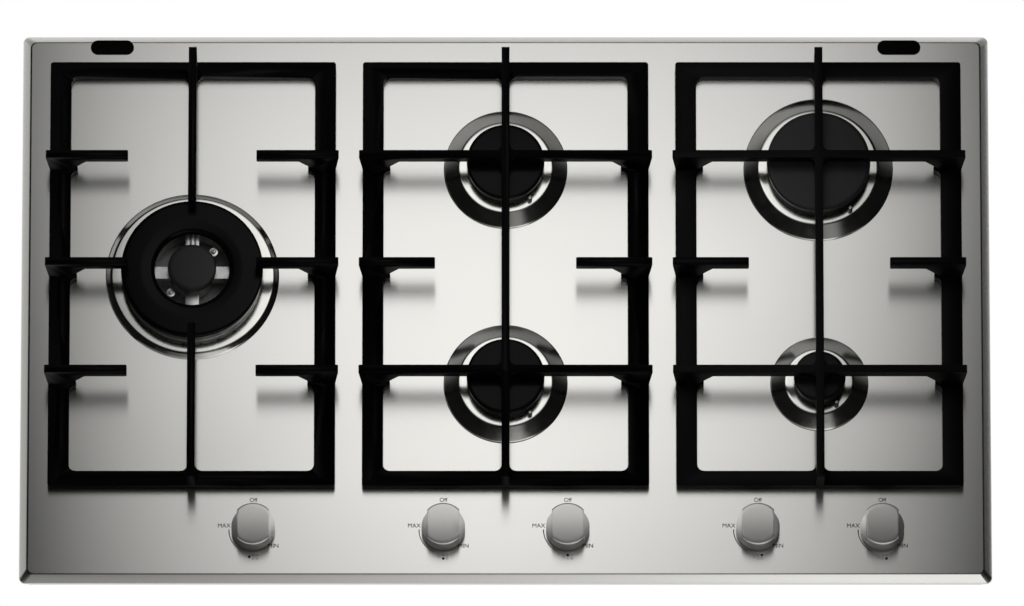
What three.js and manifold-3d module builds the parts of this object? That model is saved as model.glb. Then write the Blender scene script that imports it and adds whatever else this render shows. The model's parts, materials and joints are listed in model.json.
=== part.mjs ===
// A built-in gas cooktop with five burners, three cast iron grates and five taps.
//
// Millimetres, +Z up, +Y to the rear. The origin is the centre of the top plate's outline, at the
// height of the tray's underside. The worktop that the cooktop hangs in lies at WORKTOP_Z.

import * as THREE from 'three';
import { mergeVertices } from 'three/addons/utils/BufferGeometryUtils.js';
import Module from 'manifold-3d';

const wasm = await Module();
wasm.setup();

// ---------------------------------------------------------------------------------------------
// Driving dimensions

const GAP = 0.3; // between pieces that touch
const BOND = 1; // how far two joined solids reach into each other
const CUT_PAST = 1; // how far a cutting tool reaches past the face that it opens
const PIERCE = 5; // half height of the tools that pierce the plate

// Top plate: one pressed stainless steel sheet with a sloping rim
const PLATE_WIDTH = 860;
const PLATE_DEPTH = 510;
const PLATE_CORNER = 9;
const SMALLEST_CORNER = 1;
const SHEET = 1.2;
const RIM_SLOPE = 7; // width of the sloping rim, seen from above
const RIM_RISE = 6; // height of that slope
const RIM_EDGE = 1.7; // upright edge below the slope

// Tray below the worktop, and the foam seal that lies on the worktop
const TRAY_INSET = 22; // front and rear, from the plate's edges
const TRAY_FROM_INLET = 28; // each side wall, from the inlet pipe's line and its mirror image
const TRAY_DROP = 50; // how far the tray hangs below the worktop's surface
const TRAY_CORNER = 12;
const TRAY_FLANGE = 5;
const REAR_TOOL = 10; // half length of the tools that pierce the tray's rear wall
const SEAL_THICKNESS = 2;
const SEAL_WIDTH = 11;
const SEAL_INSET = 0.5;

// Burners stand in three columns: one large burner on the left, a pair in each other column
const ROW_PITCH = 200;
const CAP_SMALL = 23; // cap radii
const CAP_MEDIUM = 34.5;
const CAP_LARGE = 46;
const WOK_CAP = 63;
const WOK_CAP_HOLE = 33;
const WOK_CENTRE_CAP = 21.5;

// Polished ring round each burner: a sloping flank up to a flat shelf
const RING_RISE = 8;
const RING_FLANK = 13.5;
const RING_SHELF = 7; // shelf that shows outside the cap
const RING_INSIDE = 4; // how far the shelf runs in under the cap
const RING_EDGE = 0.9; // rounding of its foot and its shoulder
const WOK_RING_RISE = 4;
const WOK_RING_FLANK = 5;
const WOK_RING_SHELF = 9;

// Burner castings
const CUP_FLOOR_DROP = 14; // below the plate's surface
const CUP_WALL = 2.5;
const CUP_INSET = 6; // how far the bowl is narrower than the cap, all round
const CUP_PLATE_GAP = 1; // between the bowl and the plate's hole
const CUP_STEM_RADIUS = 14;
const WOK_STEM_RADIUS = 20;
const CUP_STEM_DROP = 38;
const CUP_FLANGE_THICKNESS = 2;
const CUP_FLANGE_REACH = 8; // flange radius beyond the cap's
const WOK_FLANGE_REACH = 2;
const HEAD_WALL = 3;
const CROWN_HEIGHT = 9.2; // wall with the flame ports
const CROWN_EDGE = 1;
const SKIRT_DROP = 6; // how deep the head reaches below the plate's surface
const CAP_THICKNESS = 8;
const CAP_LIP = 2; // how far a cap reaches past its crown
const CAP_FOOT = 1; // chamfer of a cap's lower edge
const CAP_SHOULDER = 3; // height of a cap's round shoulder
const CAP_DOME = 0.5; // rise of its top
const CAP_SPIGOT = 4; // depth of the spigot that drops into the head
const PORT_WIDTH = 3;
const PORT_DEPTH = 5;
const WOK_HUB_RADIUS = 18.5;
const WOK_HUB_WALL = 5;
const WOK_CENTRE_PORTS = 8;
const WOK_RING_WALL = 5; // walls of the outer ring's trough
const WOK_RING_FLOOR = 2;
const WOK_RIB_DEPTH = 3; // the ring cap's rib, inside the trough
const WOK_BRIDGE_WIDTH = 12.5;
const WOK_CENTRE_CAP_LIFT = 3; // centre cap above the ring cap

// Spark electrodes and the flame sensor
const ELECTRODE_RADIUS = 2;
const ELECTRODE_ANGLE = -55; // degrees from +X
const ELECTRODE_CLEARANCE = 1.2; // between electrode and cap edge
const ELECTRODE_ABOVE_CROWN = 1;
const ELECTRODE_TIP = 3; // height of the thin tip
const ELECTRODE_STEP = 0.7; // how far the tip is thinner than the sleeve, all round
const WOK_ELECTRODE_ANGLE = 225;
const WOK_SENSOR_ANGLE = 45;

// Grates: a low frame with tall blades that carry the pans
const GRATE_WIDTH = 254;
const GRATE_DEPTH = 395;
const GRATE_SPACING = 24; // between neighbours
const GRATE_FROM_KNOBS = 18.8; // from the knobs' rear to the grates' front
const GRATE_TOP = 46; // above the plate
const FRAME_TOP = 11.5;
const FRAME_BOTTOM = 2;
const FRAME_BAR = 13.5; // front and rear bars
const FRAME_SIDE_BAR = 18.5;
const FRAME_WALL = 4.2;
const FRAME_OUTER_CORNER = 2.5;
const FRAME_INNER_CORNER = 6;
const CORNER_CUT_LENGTH = 14;
const CORNER_CUT_HEIGHT = 4.5;
const FOOT_RADIUS = 5;
const FOOT_FROM_END = 40;
const BLADE_WIDTH = 7;
const BLADE_HEIGHT = 12;
const BLADE_END_REACH = 3; // how far the blade's top end reaches past the frame's outer face
const BLADE_ROOT_RISE = 14; // length over which the blade's underside rises from the frame
const BLADE_ROOT_DROP = 5; // how far the root reaches down the frame's inner wall
const FLARE_LIFT = 1; // foot of the root's flare, above the frame's
const BLADE_EDGE = 1.2;
const BLADE_FILLET = 6;
const CROSSING_DROP = 0.9; // top of a crossing's fillets, below the blades' top
const WOK_TIP_RADIUS = 57; // blade tips of the open grate, from the burner's axis
const SIDE_TIP_OFFSET = 62.5; // short blade tips of the other grates, from the grate's centre line

// Knobs and taps
const TAP_OFFSET = 55; // from the column's centre line
const TAP_FROM_FRONT = 47.5; // from the plate's front edge
const KNOB_RADIUS = 19.2;
const KNOB_CLEARANCE = 3.7; // above the plate, for the push travel
const KNOB_FLANK_HEIGHT = 11; // above the plate
const KNOB_HEIGHT = 21; // above the plate
const KNOB_GRIP_WIDTH = 28;
const KNOB_EDGE = 1;
const SPINDLE_RADIUS = 3;
const SPINDLE_TOP = 15; // above the plate
const SPINDLE_HOLE_RADIUS = 5;
const PLUG_RADIUS = 5.5; // lower part of the spindle, inside the tap
const PUSH_TRAVEL = 3;
const VALVE_WIDTH = 22;
const VALVE_DEPTH = 30;
const VALVE_HEIGHT = 26;
const VALVE_NECK_RADIUS = 9;
const VALVE_NECK_HEIGHT = 10;
const VALVE_FLOOR = 2.2;
const OUTLET_RADIUS = 5;
const OUTLET_LENGTH = 8;

// Gas pipes, and the electrics in the tray
const MANIFOLD_RADIUS = 8;
const MANIFOLD_Z = 12;
const MANIFOLD_OVERHANG = 18; // past the outer taps
const FEED_PIPE_RADIUS = 3;
const FEED_STRAIGHT = 12; // straight ends of a feed pipe
const FEED_APPROACH = 60; // a feed pipe turns this far in front of its burner's axis
const INLET_PIPE_RADIUS = 6;
const INLET_BEND = 29; // from the manifold's end to the inlet pipe's line
const INLET_STUB_RADIUS = 10;
const INLET_STUB_LENGTH = 18; // behind the tray's rear wall
const INLET_BORE_DEPTH = 16;
const INLET_SOCKET = 2; // how far the pipe's end stands in the stub
const SWITCH_STRIP_HEIGHT = 4;
const SWITCH_STRIP_DEPTH = 30;
const SPARK_BOX = [74, 42, 24];
const SPARK_BOX_X = -135;
const SPARK_BOX_FROM_TAPS = 245;
const SPARK_TERMINAL_RADIUS = 3;
const SPARK_TERMINAL_HEIGHT = 8;
const TERMINAL_BOX = [52, 34, 24];
const TERMINAL_BOX_X = 140;
const CABLE_GLAND_RADIUS = 8;
const CABLE_GLAND_LENGTH = 14;
const VENT_LENGTH = 60;
const VENT_WIDTH = 5;
const VENT_PITCH = 90;
const VENTS_PER_ROW = 7;
const VENT_ROWS_Y = [-120, 175];

// Oblong slots at the rear, closed by rubber plugs
const SLOT_LENGTH = 38.4;
const SLOT_WIDTH = 13.1;
const SLOT_X = 350.5;
const SLOT_FROM_REAR = 12;
const SLOT_LIP = 2;
const PLUG_HEAD = 1;

// Facets
const SIDES_LARGE = 32;
const SIDES_MEDIUM = 24;
const SIDES_SMALL = 12;
const SIDES_PIPE = 8;
const FEED_STEPS = 10;
const INLET_STEPS = 16;
const CORNER_STEPS = 2;
const FILLET_STEPS = 4;

// ---------------------------------------------------------------------------------------------
// Heights and places that follow from them

const WORKTOP_Z = TRAY_DROP;
const RIM_FOOT_Z = WORKTOP_Z + SEAL_THICKNESS + GAP;
const PLATE_Z = RIM_FOOT_Z + RIM_EDGE + RIM_RISE; // the plate's upper surface
const PLATE_UNDERSIDE_Z = PLATE_Z - SHEET;

// The taps stand at a set distance from the plate's front edge, the grates behind the knobs, and
// the burners in rows and columns under the grates
const COLUMN_PITCH = GRATE_WIDTH + GRATE_SPACING;
const TAP_Y = TAP_FROM_FRONT - PLATE_DEPTH / 2;
const GRATE_CENTRE_Y = TAP_Y + KNOB_RADIUS + GRATE_FROM_KNOBS + GRATE_DEPTH / 2;
const REAR_ROW_Y = GRATE_CENTRE_Y + ROW_PITCH / 2;
const FRONT_ROW_Y = GRATE_CENTRE_Y - ROW_PITCH / 2;

const BURNERS = [
  { name: 'rear_centre', x: 0, y: REAR_ROW_Y, cap: CAP_MEDIUM, ports: 16 },
  { name: 'front_centre', x: 0, y: FRONT_ROW_Y, cap: CAP_MEDIUM, ports: 16 },
  { name: 'rear_right', x: COLUMN_PITCH, y: REAR_ROW_Y, cap: CAP_LARGE, ports: 20 },
  { name: 'front_right', x: COLUMN_PITCH, y: FRONT_ROW_Y, cap: CAP_SMALL, ports: 12 },
].map((burner) => ({
  ...burner,
  flank: RING_FLANK,
  shelf: RING_SHELF,
  rise: RING_RISE,
  stem: CUP_STEM_RADIUS,
  sides: SIDES_MEDIUM,
}));
const WOK = {
  name: 'left',
  x: -COLUMN_PITCH,
  y: GRATE_CENTRE_Y,
  cap: WOK_CAP,
  flank: WOK_RING_FLANK,
  shelf: WOK_RING_SHELF,
  rise: WOK_RING_RISE,
  stem: WOK_STEM_RADIUS,
  ports: 24,
  sides: SIDES_LARGE,
};
const ALL_BURNERS = [WOK, ...BURNERS];
const [REAR_CENTRE, FRONT_CENTRE, REAR_RIGHT, FRONT_RIGHT] = BURNERS;

const bowlRadius = (burner) => burner.cap - CUP_INSET;
const skirtRadius = (burner) => bowlRadius(burner) - CUP_WALL - GAP;
const headBoreRadius = (burner) => skirtRadius(burner) - HEAD_WALL;
const crownRadius = (burner) => burner.cap - CAP_LIP;
const shelfRadius = (burner) => burner.cap + burner.shelf;
const ringRadius = (burner) => shelfRadius(burner) + burner.flank;
const headSeatZ = (burner) => PLATE_Z + burner.rise + GAP;
const CROWN_TOP_Z = PLATE_Z + RING_RISE + GAP + CROWN_HEIGHT;
const CAP_SEAT_Z = CROWN_TOP_Z + GAP;
const CAP_TOP_Z = CAP_SEAT_Z + CAP_THICKNESS;
const ELECTRODE_TOP_Z = CROWN_TOP_Z + ELECTRODE_ABOVE_CROWN;

const VALVE_Z = MANIFOLD_Z + MANIFOLD_RADIUS + GAP;
const VALVE_TOP_Z = VALVE_Z + VALVE_HEIGHT;
const NECK_TOP_Z = VALVE_TOP_Z + VALVE_NECK_HEIGHT;
const OUTLET_Z = VALVE_Z + VALVE_HEIGHT / 2;
const OUTLET_Y = TAP_Y + VALVE_DEPTH / 2 + OUTLET_LENGTH;

// Each tap feeds one burner
const TAPS = [
  { name: 'left', x: -COLUMN_PITCH + TAP_OFFSET, burner: WOK },
  { name: 'front_centre', x: -TAP_OFFSET, burner: FRONT_CENTRE },
  { name: 'rear_centre', x: TAP_OFFSET, burner: REAR_CENTRE },
  { name: 'rear_right', x: COLUMN_PITCH - TAP_OFFSET, burner: REAR_RIGHT },
  { name: 'front_right', x: COLUMN_PITCH + TAP_OFFSET, burner: FRONT_RIGHT },
];
const tapXs = TAPS.map(({ x }) => x);
const MANIFOLD_LEFT = Math.min(...tapXs) - MANIFOLD_OVERHANG;
const MANIFOLD_RIGHT = Math.max(...tapXs) + MANIFOLD_OVERHANG;
const INLET_X = MANIFOLD_RIGHT + INLET_BEND;

// ---------------------------------------------------------------------------------------------
// Materials

const finish = (color, roughness, metalness) =>
  new THREE.MeshStandardMaterial({ color, roughness, metalness });
const BRUSHED_STEEL = finish(0xc9c8c4, 0.35, 1);
const POLISHED_STEEL = finish(0xd4d3cf, 0.12, 1);
const GALVANISED = finish(0x9a9c9c, 0.5, 0.9);
const CAST_IRON = finish(0x131413, 0.6, 0.1);
const BLACK_ENAMEL = finish(0x1d1e1d, 0.35, 0);
const ALUMINIUM = finish(0xb6b7b6, 0.4, 1);
const BRASS = finish(0xb08d4a, 0.35, 1);
const SATIN_METAL = finish(0xa9a8a4, 0.3, 0.9);
const RUBBER = finish(0x0d0d0d, 0.8, 0);
const FOAM = finish(0x1a1a1a, 0.95, 0);
const CERAMIC = finish(0xe8e6df, 0.3, 0);
const BLACK_PLASTIC = finish(0x1b1b1c, 0.5, 0);

// ---------------------------------------------------------------------------------------------
// Solids

/** Merges shared corners, drops empty triangles and points the faces outwards. */
function tidied(geometry) {
  const plain = geometry.clone();
  plain.deleteAttribute('normal');
  plain.deleteAttribute('uv');
  const merged = mergeVertices(plain, 1e-4);
  const place = merged.getAttribute('position');
  const corners = merged.index.array;
  const faces = [];
  const [a, b, c] = [new THREE.Vector3(), new THREE.Vector3(), new THREE.Vector3()];
  let volume = 0;
  for (let i = 0; i < corners.length; i += 3) {
    const [p, q, r] = [corners[i], corners[i + 1], corners[i + 2]];
    if (p === q || q === r || r === p) continue;
    faces.push([p, q, r]);
    a.fromBufferAttribute(place, p);
    b.fromBufferAttribute(place, q);
    c.fromBufferAttribute(place, r);
    volume += a.dot(b.cross(c));
  }
  const outward = volume < 0 ? faces.map(([p, q, r]) => [p, r, q]) : faces;
  merged.setIndex(outward.flat());
  return merged;
}

function toSolid(geometry) {
  const { index, attributes } = tidied(geometry);
  const mesh = new wasm.Mesh({
    numProp: 3,
    vertProperties: Float32Array.from(attributes.position.array),
    triVerts: Uint32Array.from(index.array),
  });
  return new wasm.Manifold(mesh);
}

function toGeometry(solid) {
  const { vertProperties, triVerts } = solid.getMesh();
  const geometry = new THREE.BufferGeometry();
  geometry.setAttribute('position', new THREE.BufferAttribute(vertProperties, 3));
  geometry.setIndex(new THREE.BufferAttribute(triVerts, 1));
  return geometry;
}

const joined = (parts) => toGeometry(parts.map(toSolid).reduce((sum, part) => sum.add(part)));

const cut = (body, tools) =>
  toGeometry(tools.map(toSolid).reduce((rest, tool) => rest.subtract(tool), toSolid(body)));

/** Turns a closed profile of [radius, height] points about +Z. */
function turned(profile, sides) {
  const points = profile.map(([radius, height]) => new THREE.Vector2(radius, height));
  const onAxis = profile[0][0] === 0 && profile.at(-1)[0] === 0;
  if (!onAxis) points.push(points[0].clone());
  return new THREE.LatheGeometry(points, sides).rotateX(Math.PI / 2);
}

const cylinder = (radius, bottom, top, sides) =>
  turned([[0, bottom], [radius, bottom], [radius, top], [0, top]], sides);

/** A box from its lowest to its highest corner. */
function block([x0, y0, z0], [x1, y1, z1]) {
  const box = new THREE.BoxGeometry(x1 - x0, y1 - y0, z1 - z0);
  return box.translate((x0 + x1) / 2, (y0 + y1) / 2, (z0 + z1) / 2);
}

function roundedRectangle(width, depth, radius) {
  const [x, y] = [width / 2 - radius, depth / 2 - radius];
  const shape = new THREE.Shape();
  shape.absarc(x, y, radius, 0, Math.PI / 2);
  shape.absarc(-x, y, radius, Math.PI / 2, Math.PI);
  shape.absarc(-x, -y, radius, Math.PI, 1.5 * Math.PI);
  shape.absarc(x, -y, radius, 1.5 * Math.PI, 2 * Math.PI);
  shape.closePath();
  return shape;
}

function extruded(shape, bottom, top, steps = CORNER_STEPS) {
  const options = { depth: top - bottom, bevelEnabled: false, curveSegments: steps };
  return new THREE.ExtrudeGeometry(shape, options).translate(0, 0, bottom);
}

/** Joins outlines of equal point counts, each [shape, height], into one closed skin. */
function lofted(sections) {
  const rings = sections.map(([shape, height]) => {
    const points = shape.getPoints(CORNER_STEPS).slice(0, -1);
    return points.map(({ x, y }) => [x, y, height]);
  });
  const count = rings[0].length;
  const corners = rings.flat();
  const faces = [];
  for (let level = 0; level + 1 < rings.length; level += 1) {
    for (let i = 0; i < count; i += 1) {
      const [p, q] = [level * count + i, level * count + ((i + 1) % count)];
      faces.push([p, q, q + count], [p, q + count, p + count]);
    }
  }
  const last = (rings.length - 1) * count;
  for (let i = 1; i + 1 < count; i += 1) {
    faces.push([0, i + 1, i], [last, last + i, last + i + 1]);
  }
  const geometry = new THREE.BufferGeometry();
  geometry.setAttribute('position', new THREE.Float32BufferAttribute(corners.flat(), 3));
  geometry.setIndex(faces.flat());
  return geometry;
}

/** A round pipe along a smooth line through the points. */
function pipe(points, radius, steps, sides) {
  const path = new THREE.CatmullRomCurve3(points.map((point) => new THREE.Vector3(...point)));
  const section = new THREE.Shape();
  section.absarc(0, 0, radius, 0, 2 * Math.PI);
  const options = { extrudePath: path, steps, curveSegments: sides / 2, bevelEnabled: false };
  return new THREE.ExtrudeGeometry(section, options);
}

const radians = (degrees) => (degrees * Math.PI) / 180;

// ---------------------------------------------------------------------------------------------
// The tree of pieces

const cooktop = new THREE.Group();

function add(name, geometry, material, x = 0, y = 0) {
  const solid = tidied(geometry);
  solid.computeVertexNormals();
  const mesh = new THREE.Mesh(solid, material);
  mesh.name = name;
  mesh.position.set(x, y, 0);
  cooktop.add(mesh);
}

// ---------------------------------------------------------------------------------------------
// Top plate, seal, tray and slot plugs

const plateOutline = (inset) =>
  roundedRectangle(
    PLATE_WIDTH - 2 * inset,
    PLATE_DEPTH - 2 * inset,
    Math.max(PLATE_CORNER - inset / 2, SMALLEST_CORNER),
  );

function oblong(length, width) {
  const shape = new THREE.Shape();
  const [x, radius] = [(length - width) / 2, width / 2];
  shape.absarc(x, 0, radius, -Math.PI / 2, Math.PI / 2);
  shape.absarc(-x, 0, radius, Math.PI / 2, 1.5 * Math.PI);
  shape.closePath();
  return shape;
}

const slotPlaces = [-SLOT_X, SLOT_X].map((x) => [x, PLATE_DEPTH / 2 - SLOT_FROM_REAR]);

function topPlate() {
  const outside = lofted([
    [plateOutline(0), RIM_FOOT_Z],
    [plateOutline(0), RIM_FOOT_Z + RIM_EDGE],
    [plateOutline(RIM_SLOPE), PLATE_Z],
  ]);
  const inside = lofted([
    [plateOutline(SHEET), RIM_FOOT_Z - CUT_PAST],
    [plateOutline(SHEET), RIM_FOOT_Z + RIM_EDGE - SHEET / 3],
    [plateOutline(RIM_SLOPE + SHEET / 3), PLATE_UNDERSIDE_Z],
  ]);
  const [low, high] = [PLATE_Z - PIERCE, PLATE_Z + PIERCE];
  const holes = ALL_BURNERS.map((burner) =>
    cylinder(bowlRadius(burner) + CUP_PLATE_GAP, low, high, SIDES_LARGE)
      .translate(burner.x, burner.y, 0),
  );
  const spindleHoles = TAPS.map(({ x }) =>
    cylinder(SPINDLE_HOLE_RADIUS, low, high, SIDES_SMALL).translate(x, TAP_Y, 0),
  );
  const slots = slotPlaces.map(([x, y]) =>
    extruded(oblong(SLOT_LENGTH - 2 * SLOT_LIP, SLOT_WIDTH - 2 * SLOT_LIP), low, high)
      .translate(x, y, 0),
  );
  return cut(outside, [inside, ...holes, ...spindleHoles, ...slots]);
}

add('top_plate', topPlate(), BRUSHED_STEEL);

function worktopSeal() {
  const outline = plateOutline(SEAL_INSET);
  const inner = plateOutline(SEAL_INSET + SEAL_WIDTH);
  outline.holes.push(inner);
  return extruded(outline, WORKTOP_Z, WORKTOP_Z + SEAL_THICKNESS);
}

add('worktop_seal', worktopSeal(), FOAM);

const TRAY_DEPTH = PLATE_DEPTH - 2 * TRAY_INSET;
const TRAY_WIDTH = 2 * (INLET_X + TRAY_FROM_INLET);
const TRAY_REAR_Y = TRAY_DEPTH / 2;
const TRAY_TOP_Z = PLATE_UNDERSIDE_Z - GAP;
const GLAND_Z = SHEET + GAP + TERMINAL_BOX[2] / 2;

function burnerTray() {
  const shell = joined([
    extruded(roundedRectangle(TRAY_WIDTH, TRAY_DEPTH, TRAY_CORNER), 0, TRAY_TOP_Z),
    extruded(
      roundedRectangle(
        TRAY_WIDTH + 2 * TRAY_FLANGE,
        TRAY_DEPTH + 2 * TRAY_FLANGE,
        TRAY_CORNER + TRAY_FLANGE,
      ),
      TRAY_TOP_Z - SHEET,
      TRAY_TOP_Z,
    ),
  ]);
  const hollow = extruded(
    roundedRectangle(TRAY_WIDTH - 2 * SHEET, TRAY_DEPTH - 2 * SHEET, TRAY_CORNER - SHEET),
    SHEET,
    TRAY_TOP_Z + CUT_PAST,
  );
  const vents = VENT_ROWS_Y.flatMap((y) =>
    Array.from({ length: VENTS_PER_ROW }, (_, i) => {
      const x = (i - (VENTS_PER_ROW - 1) / 2) * VENT_PITCH;
      return block(
        [x - VENT_LENGTH / 2, y - VENT_WIDTH / 2, -CUT_PAST],
        [x + VENT_LENGTH / 2, y + VENT_WIDTH / 2, SHEET + CUT_PAST],
      );
    }),
  );
  const rearHole = (radius, x, z) =>
    cylinder(radius + GAP, -REAR_TOOL, REAR_TOOL, SIDES_SMALL)
      .rotateX(Math.PI / 2)
      .translate(x, TRAY_REAR_Y, z);
  return cut(shell, [
    hollow,
    ...vents,
    rearHole(INLET_STUB_RADIUS, INLET_X, MANIFOLD_Z),
    rearHole(CABLE_GLAND_RADIUS, TERMINAL_BOX_X, GLAND_Z),
  ]);
}

add('burner_tray', burnerTray(), GALVANISED);

function slotPlug() {
  const head = extruded(oblong(SLOT_LENGTH, SLOT_WIDTH), PLATE_Z + GAP, PLATE_Z + GAP + PLUG_HEAD);
  const inset = 2 * (SLOT_LIP + GAP);
  const body = extruded(
    oblong(SLOT_LENGTH - inset, SLOT_WIDTH - inset),
    PLATE_UNDERSIDE_Z - PLUG_HEAD,
    PLATE_Z + GAP + PLUG_HEAD / 2,
  );
  return joined([head, body]);
}

slotPlaces.forEach(([x, y]) => add(`slot_plug_${x < 0 ? 'left' : 'right'}`, slotPlug(), RUBBER, x, y));

// ---------------------------------------------------------------------------------------------
// Burners: ring, cup, head, cap and electrode, each about its own axis

const electrodeReach = (burner) => burner.cap + ELECTRODE_CLEARANCE + ELECTRODE_RADIUS;
const polar = (radius, degrees) => [
  radius * Math.cos(radians(degrees)),
  radius * Math.sin(radians(degrees)),
];

function burnerRing(burner, electrodeHole) {
  const [outer, shelf] = [ringRadius(burner), shelfRadius(burner)];
  const inner = burner.cap - RING_INSIDE;
  const [foot, top] = [PLATE_Z + GAP, PLATE_Z + burner.rise];
  const ring = turned([
    [outer, foot],
    [outer - RING_EDGE, foot + RING_EDGE],
    [shelf + 2 * RING_EDGE, top - RING_EDGE],
    [shelf - RING_EDGE / 2, top],
    [inner, top],
    [inner, top - SHEET],
    [shelf - SHEET, top - SHEET],
    [outer - 2 * SHEET, foot],
  ], burner.sides);
  if (!electrodeHole) return ring;
  const [x, y] = polar(electrodeReach(burner), ELECTRODE_ANGLE);
  const hole = cylinder(ELECTRODE_RADIUS + GAP, foot, top + CUT_PAST, SIDES_SMALL).translate(x, y, 0);
  return cut(ring, [hole]);
}

/** The cast base: a bowl that hangs through the plate on its flange, with the mixing stem below. */
function burnerCup(burner, flangeReach) {
  const [bowl, rim] = [bowlRadius(burner), PLATE_Z + burner.rise - SHEET - GAP];
  const [floor, flange] = [PLATE_Z - CUP_FLOOR_DROP, PLATE_Z + GAP];
  return turned([
    [0, PLATE_Z - CUP_STEM_DROP],
    [burner.stem, PLATE_Z - CUP_STEM_DROP],
    [burner.stem, floor - CUP_WALL],
    [bowl, floor - CUP_WALL],
    [bowl, flange],
    [burner.cap + flangeReach, flange],
    [burner.cap + flangeReach, flange + CUP_FLANGE_THICKNESS],
    [bowl, flange + CUP_FLANGE_THICKNESS],
    [bowl, rim],
    [bowl - CUP_WALL, rim],
    [bowl - CUP_WALL, floor],
    [0, floor],
  ], burner.sides);
}

/** Flame ports: upright slots through the crown's upper edge, between two radii. */
function flamePorts(count, inner, outer, top) {
  return Array.from({ length: count }, (_, i) =>
    block([inner, -PORT_WIDTH / 2, top - PORT_DEPTH], [outer, PORT_WIDTH / 2, top + CUT_PAST])
      .rotateZ(((i + 0.5) / count) * 2 * Math.PI),
  );
}

function burnerHead(burner) {
  const [bore, skirt, crown] = [headBoreRadius(burner), skirtRadius(burner), crownRadius(burner)];
  const body = turned([
    [bore, PLATE_Z - SKIRT_DROP],
    [skirt, PLATE_Z - SKIRT_DROP],
    [skirt, headSeatZ(burner)],
    [crown - CROWN_EDGE, headSeatZ(burner)],
    [crown, headSeatZ(burner) + CROWN_EDGE],
    [crown, CROWN_TOP_Z],
    [bore, CROWN_TOP_Z],
  ], burner.sides);
  return cut(body, flamePorts(burner.ports, bore - CUT_PAST, crown + CUT_PAST, CROWN_TOP_Z));
}

/** A pressed, enamelled cap with a spigot that drops into the head's bore. */
function burnerCap(radius, seat, top, spigot, sides) {
  return turned([
    [0, seat - CAP_SPIGOT],
    [spigot, seat - CAP_SPIGOT],
    [spigot, seat],
    [radius - CAP_FOOT, seat],
    [radius, seat + CAP_FOOT],
    [radius, top - CAP_SHOULDER],
    [radius - CAP_SHOULDER / 3, top - CAP_SHOULDER / 2],
    [radius - 1.5 * CAP_SHOULDER, top - CAP_DOME],
    [0, top],
  ], sides);
}

/** A spark electrode or flame sensor: a sleeve with a thinner tip. */
function electrode(bottom, top) {
  const tipRadius = ELECTRODE_RADIUS - ELECTRODE_STEP;
  return turned([
    [0, bottom],
    [ELECTRODE_RADIUS, bottom],
    [ELECTRODE_RADIUS, top - ELECTRODE_TIP - ELECTRODE_STEP],
    [tipRadius, top - ELECTRODE_TIP],
    [tipRadius, top],
    [0, top],
  ], SIDES_SMALL);
}

for (const burner of BURNERS) {
  const { name, x, y } = burner;
  add(`burner_ring_${name}`, burnerRing(burner, true), POLISHED_STEEL, x, y);
  add(`burner_cup_${name}`, burnerCup(burner, CUP_FLANGE_REACH), ALUMINIUM, x, y);
  add(`burner_head_${name}`, burnerHead(burner), ALUMINIUM, x, y);
  const spigot = headBoreRadius(burner) - GAP;
  const cap = burnerCap(burner.cap, CAP_SEAT_Z, CAP_TOP_Z, spigot, burner.sides);
  add(`burner_cap_${name}`, cap, BLACK_ENAMEL, x, y);
  const [dx, dy] = polar(electrodeReach(burner), ELECTRODE_ANGLE);
  const electrodeFoot = PLATE_Z + GAP + CUP_FLANGE_THICKNESS + GAP;
  add(`electrode_${name}`, electrode(electrodeFoot, ELECTRODE_TOP_Z), CERAMIC, x + dx, y + dy);
}

// The large burner on the left has an outer ring of flames and a small burner in its middle
const WOK_HEAD_INNER = WOK_CAP_HOLE + CAP_LIP; // inner wall of the outer ring
const WOK_GAP_RADIUS = (WOK_HUB_RADIUS + WOK_HEAD_INNER) / 2;
const WOK_HUB_TOP_Z = CAP_TOP_Z + WOK_CENTRE_CAP_LIFT - CAP_THICKNESS - GAP;
const WOK_BRIDGE_TOP_Z = CROWN_TOP_Z - PORT_DEPTH;

function wokHead() {
  const [skirt, crown, seat] = [skirtRadius(WOK), crownRadius(WOK), headSeatZ(WOK)];
  const inner = WOK_HEAD_INNER;
  const ring = turned([
    [inner, PLATE_Z - SKIRT_DROP],
    [skirt, PLATE_Z - SKIRT_DROP],
    [skirt, seat],
    [crown - CROWN_EDGE, seat],
    [crown, seat + CROWN_EDGE],
    [crown, CROWN_TOP_Z],
    [inner, CROWN_TOP_Z],
  ], SIDES_LARGE);
  const trough = turned([
    [inner + WOK_RING_WALL, seat + WOK_RING_FLOOR],
    [crown - WOK_RING_WALL, seat + WOK_RING_FLOOR],
    [crown - WOK_RING_WALL, CROWN_TOP_Z + CUT_PAST],
    [inner + WOK_RING_WALL, CROWN_TOP_Z + CUT_PAST],
  ], SIDES_LARGE);
  const hub = cylinder(WOK_HUB_RADIUS, PLATE_Z - SKIRT_DROP, WOK_HUB_TOP_Z, SIDES_MEDIUM);
  const half = WOK_BRIDGE_WIDTH / 2;
  const reach = inner + BOND;
  const bridges = [
    block([-reach, -half, PLATE_Z], [reach, half, WOK_BRIDGE_TOP_Z]),
    block([-half, -reach, PLATE_Z], [half, reach, WOK_BRIDGE_TOP_Z]),
  ];
  const hubBore = WOK_HUB_RADIUS - WOK_HUB_WALL;
  const core = cylinder(hubBore, WOK_HUB_TOP_Z - PORT_DEPTH, WOK_HUB_TOP_Z + CUT_PAST, SIDES_MEDIUM);
  const body = joined([cut(ring, [trough]), hub, ...bridges]);
  return cut(body, [
    core,
    ...flamePorts(WOK.ports, crown - WOK_RING_WALL - CUT_PAST, crown + CUT_PAST, CROWN_TOP_Z),
    ...flamePorts(WOK_CENTRE_PORTS, hubBore - CUT_PAST, WOK_HUB_RADIUS + CUT_PAST, WOK_HUB_TOP_Z),
  ]);
}

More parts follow.
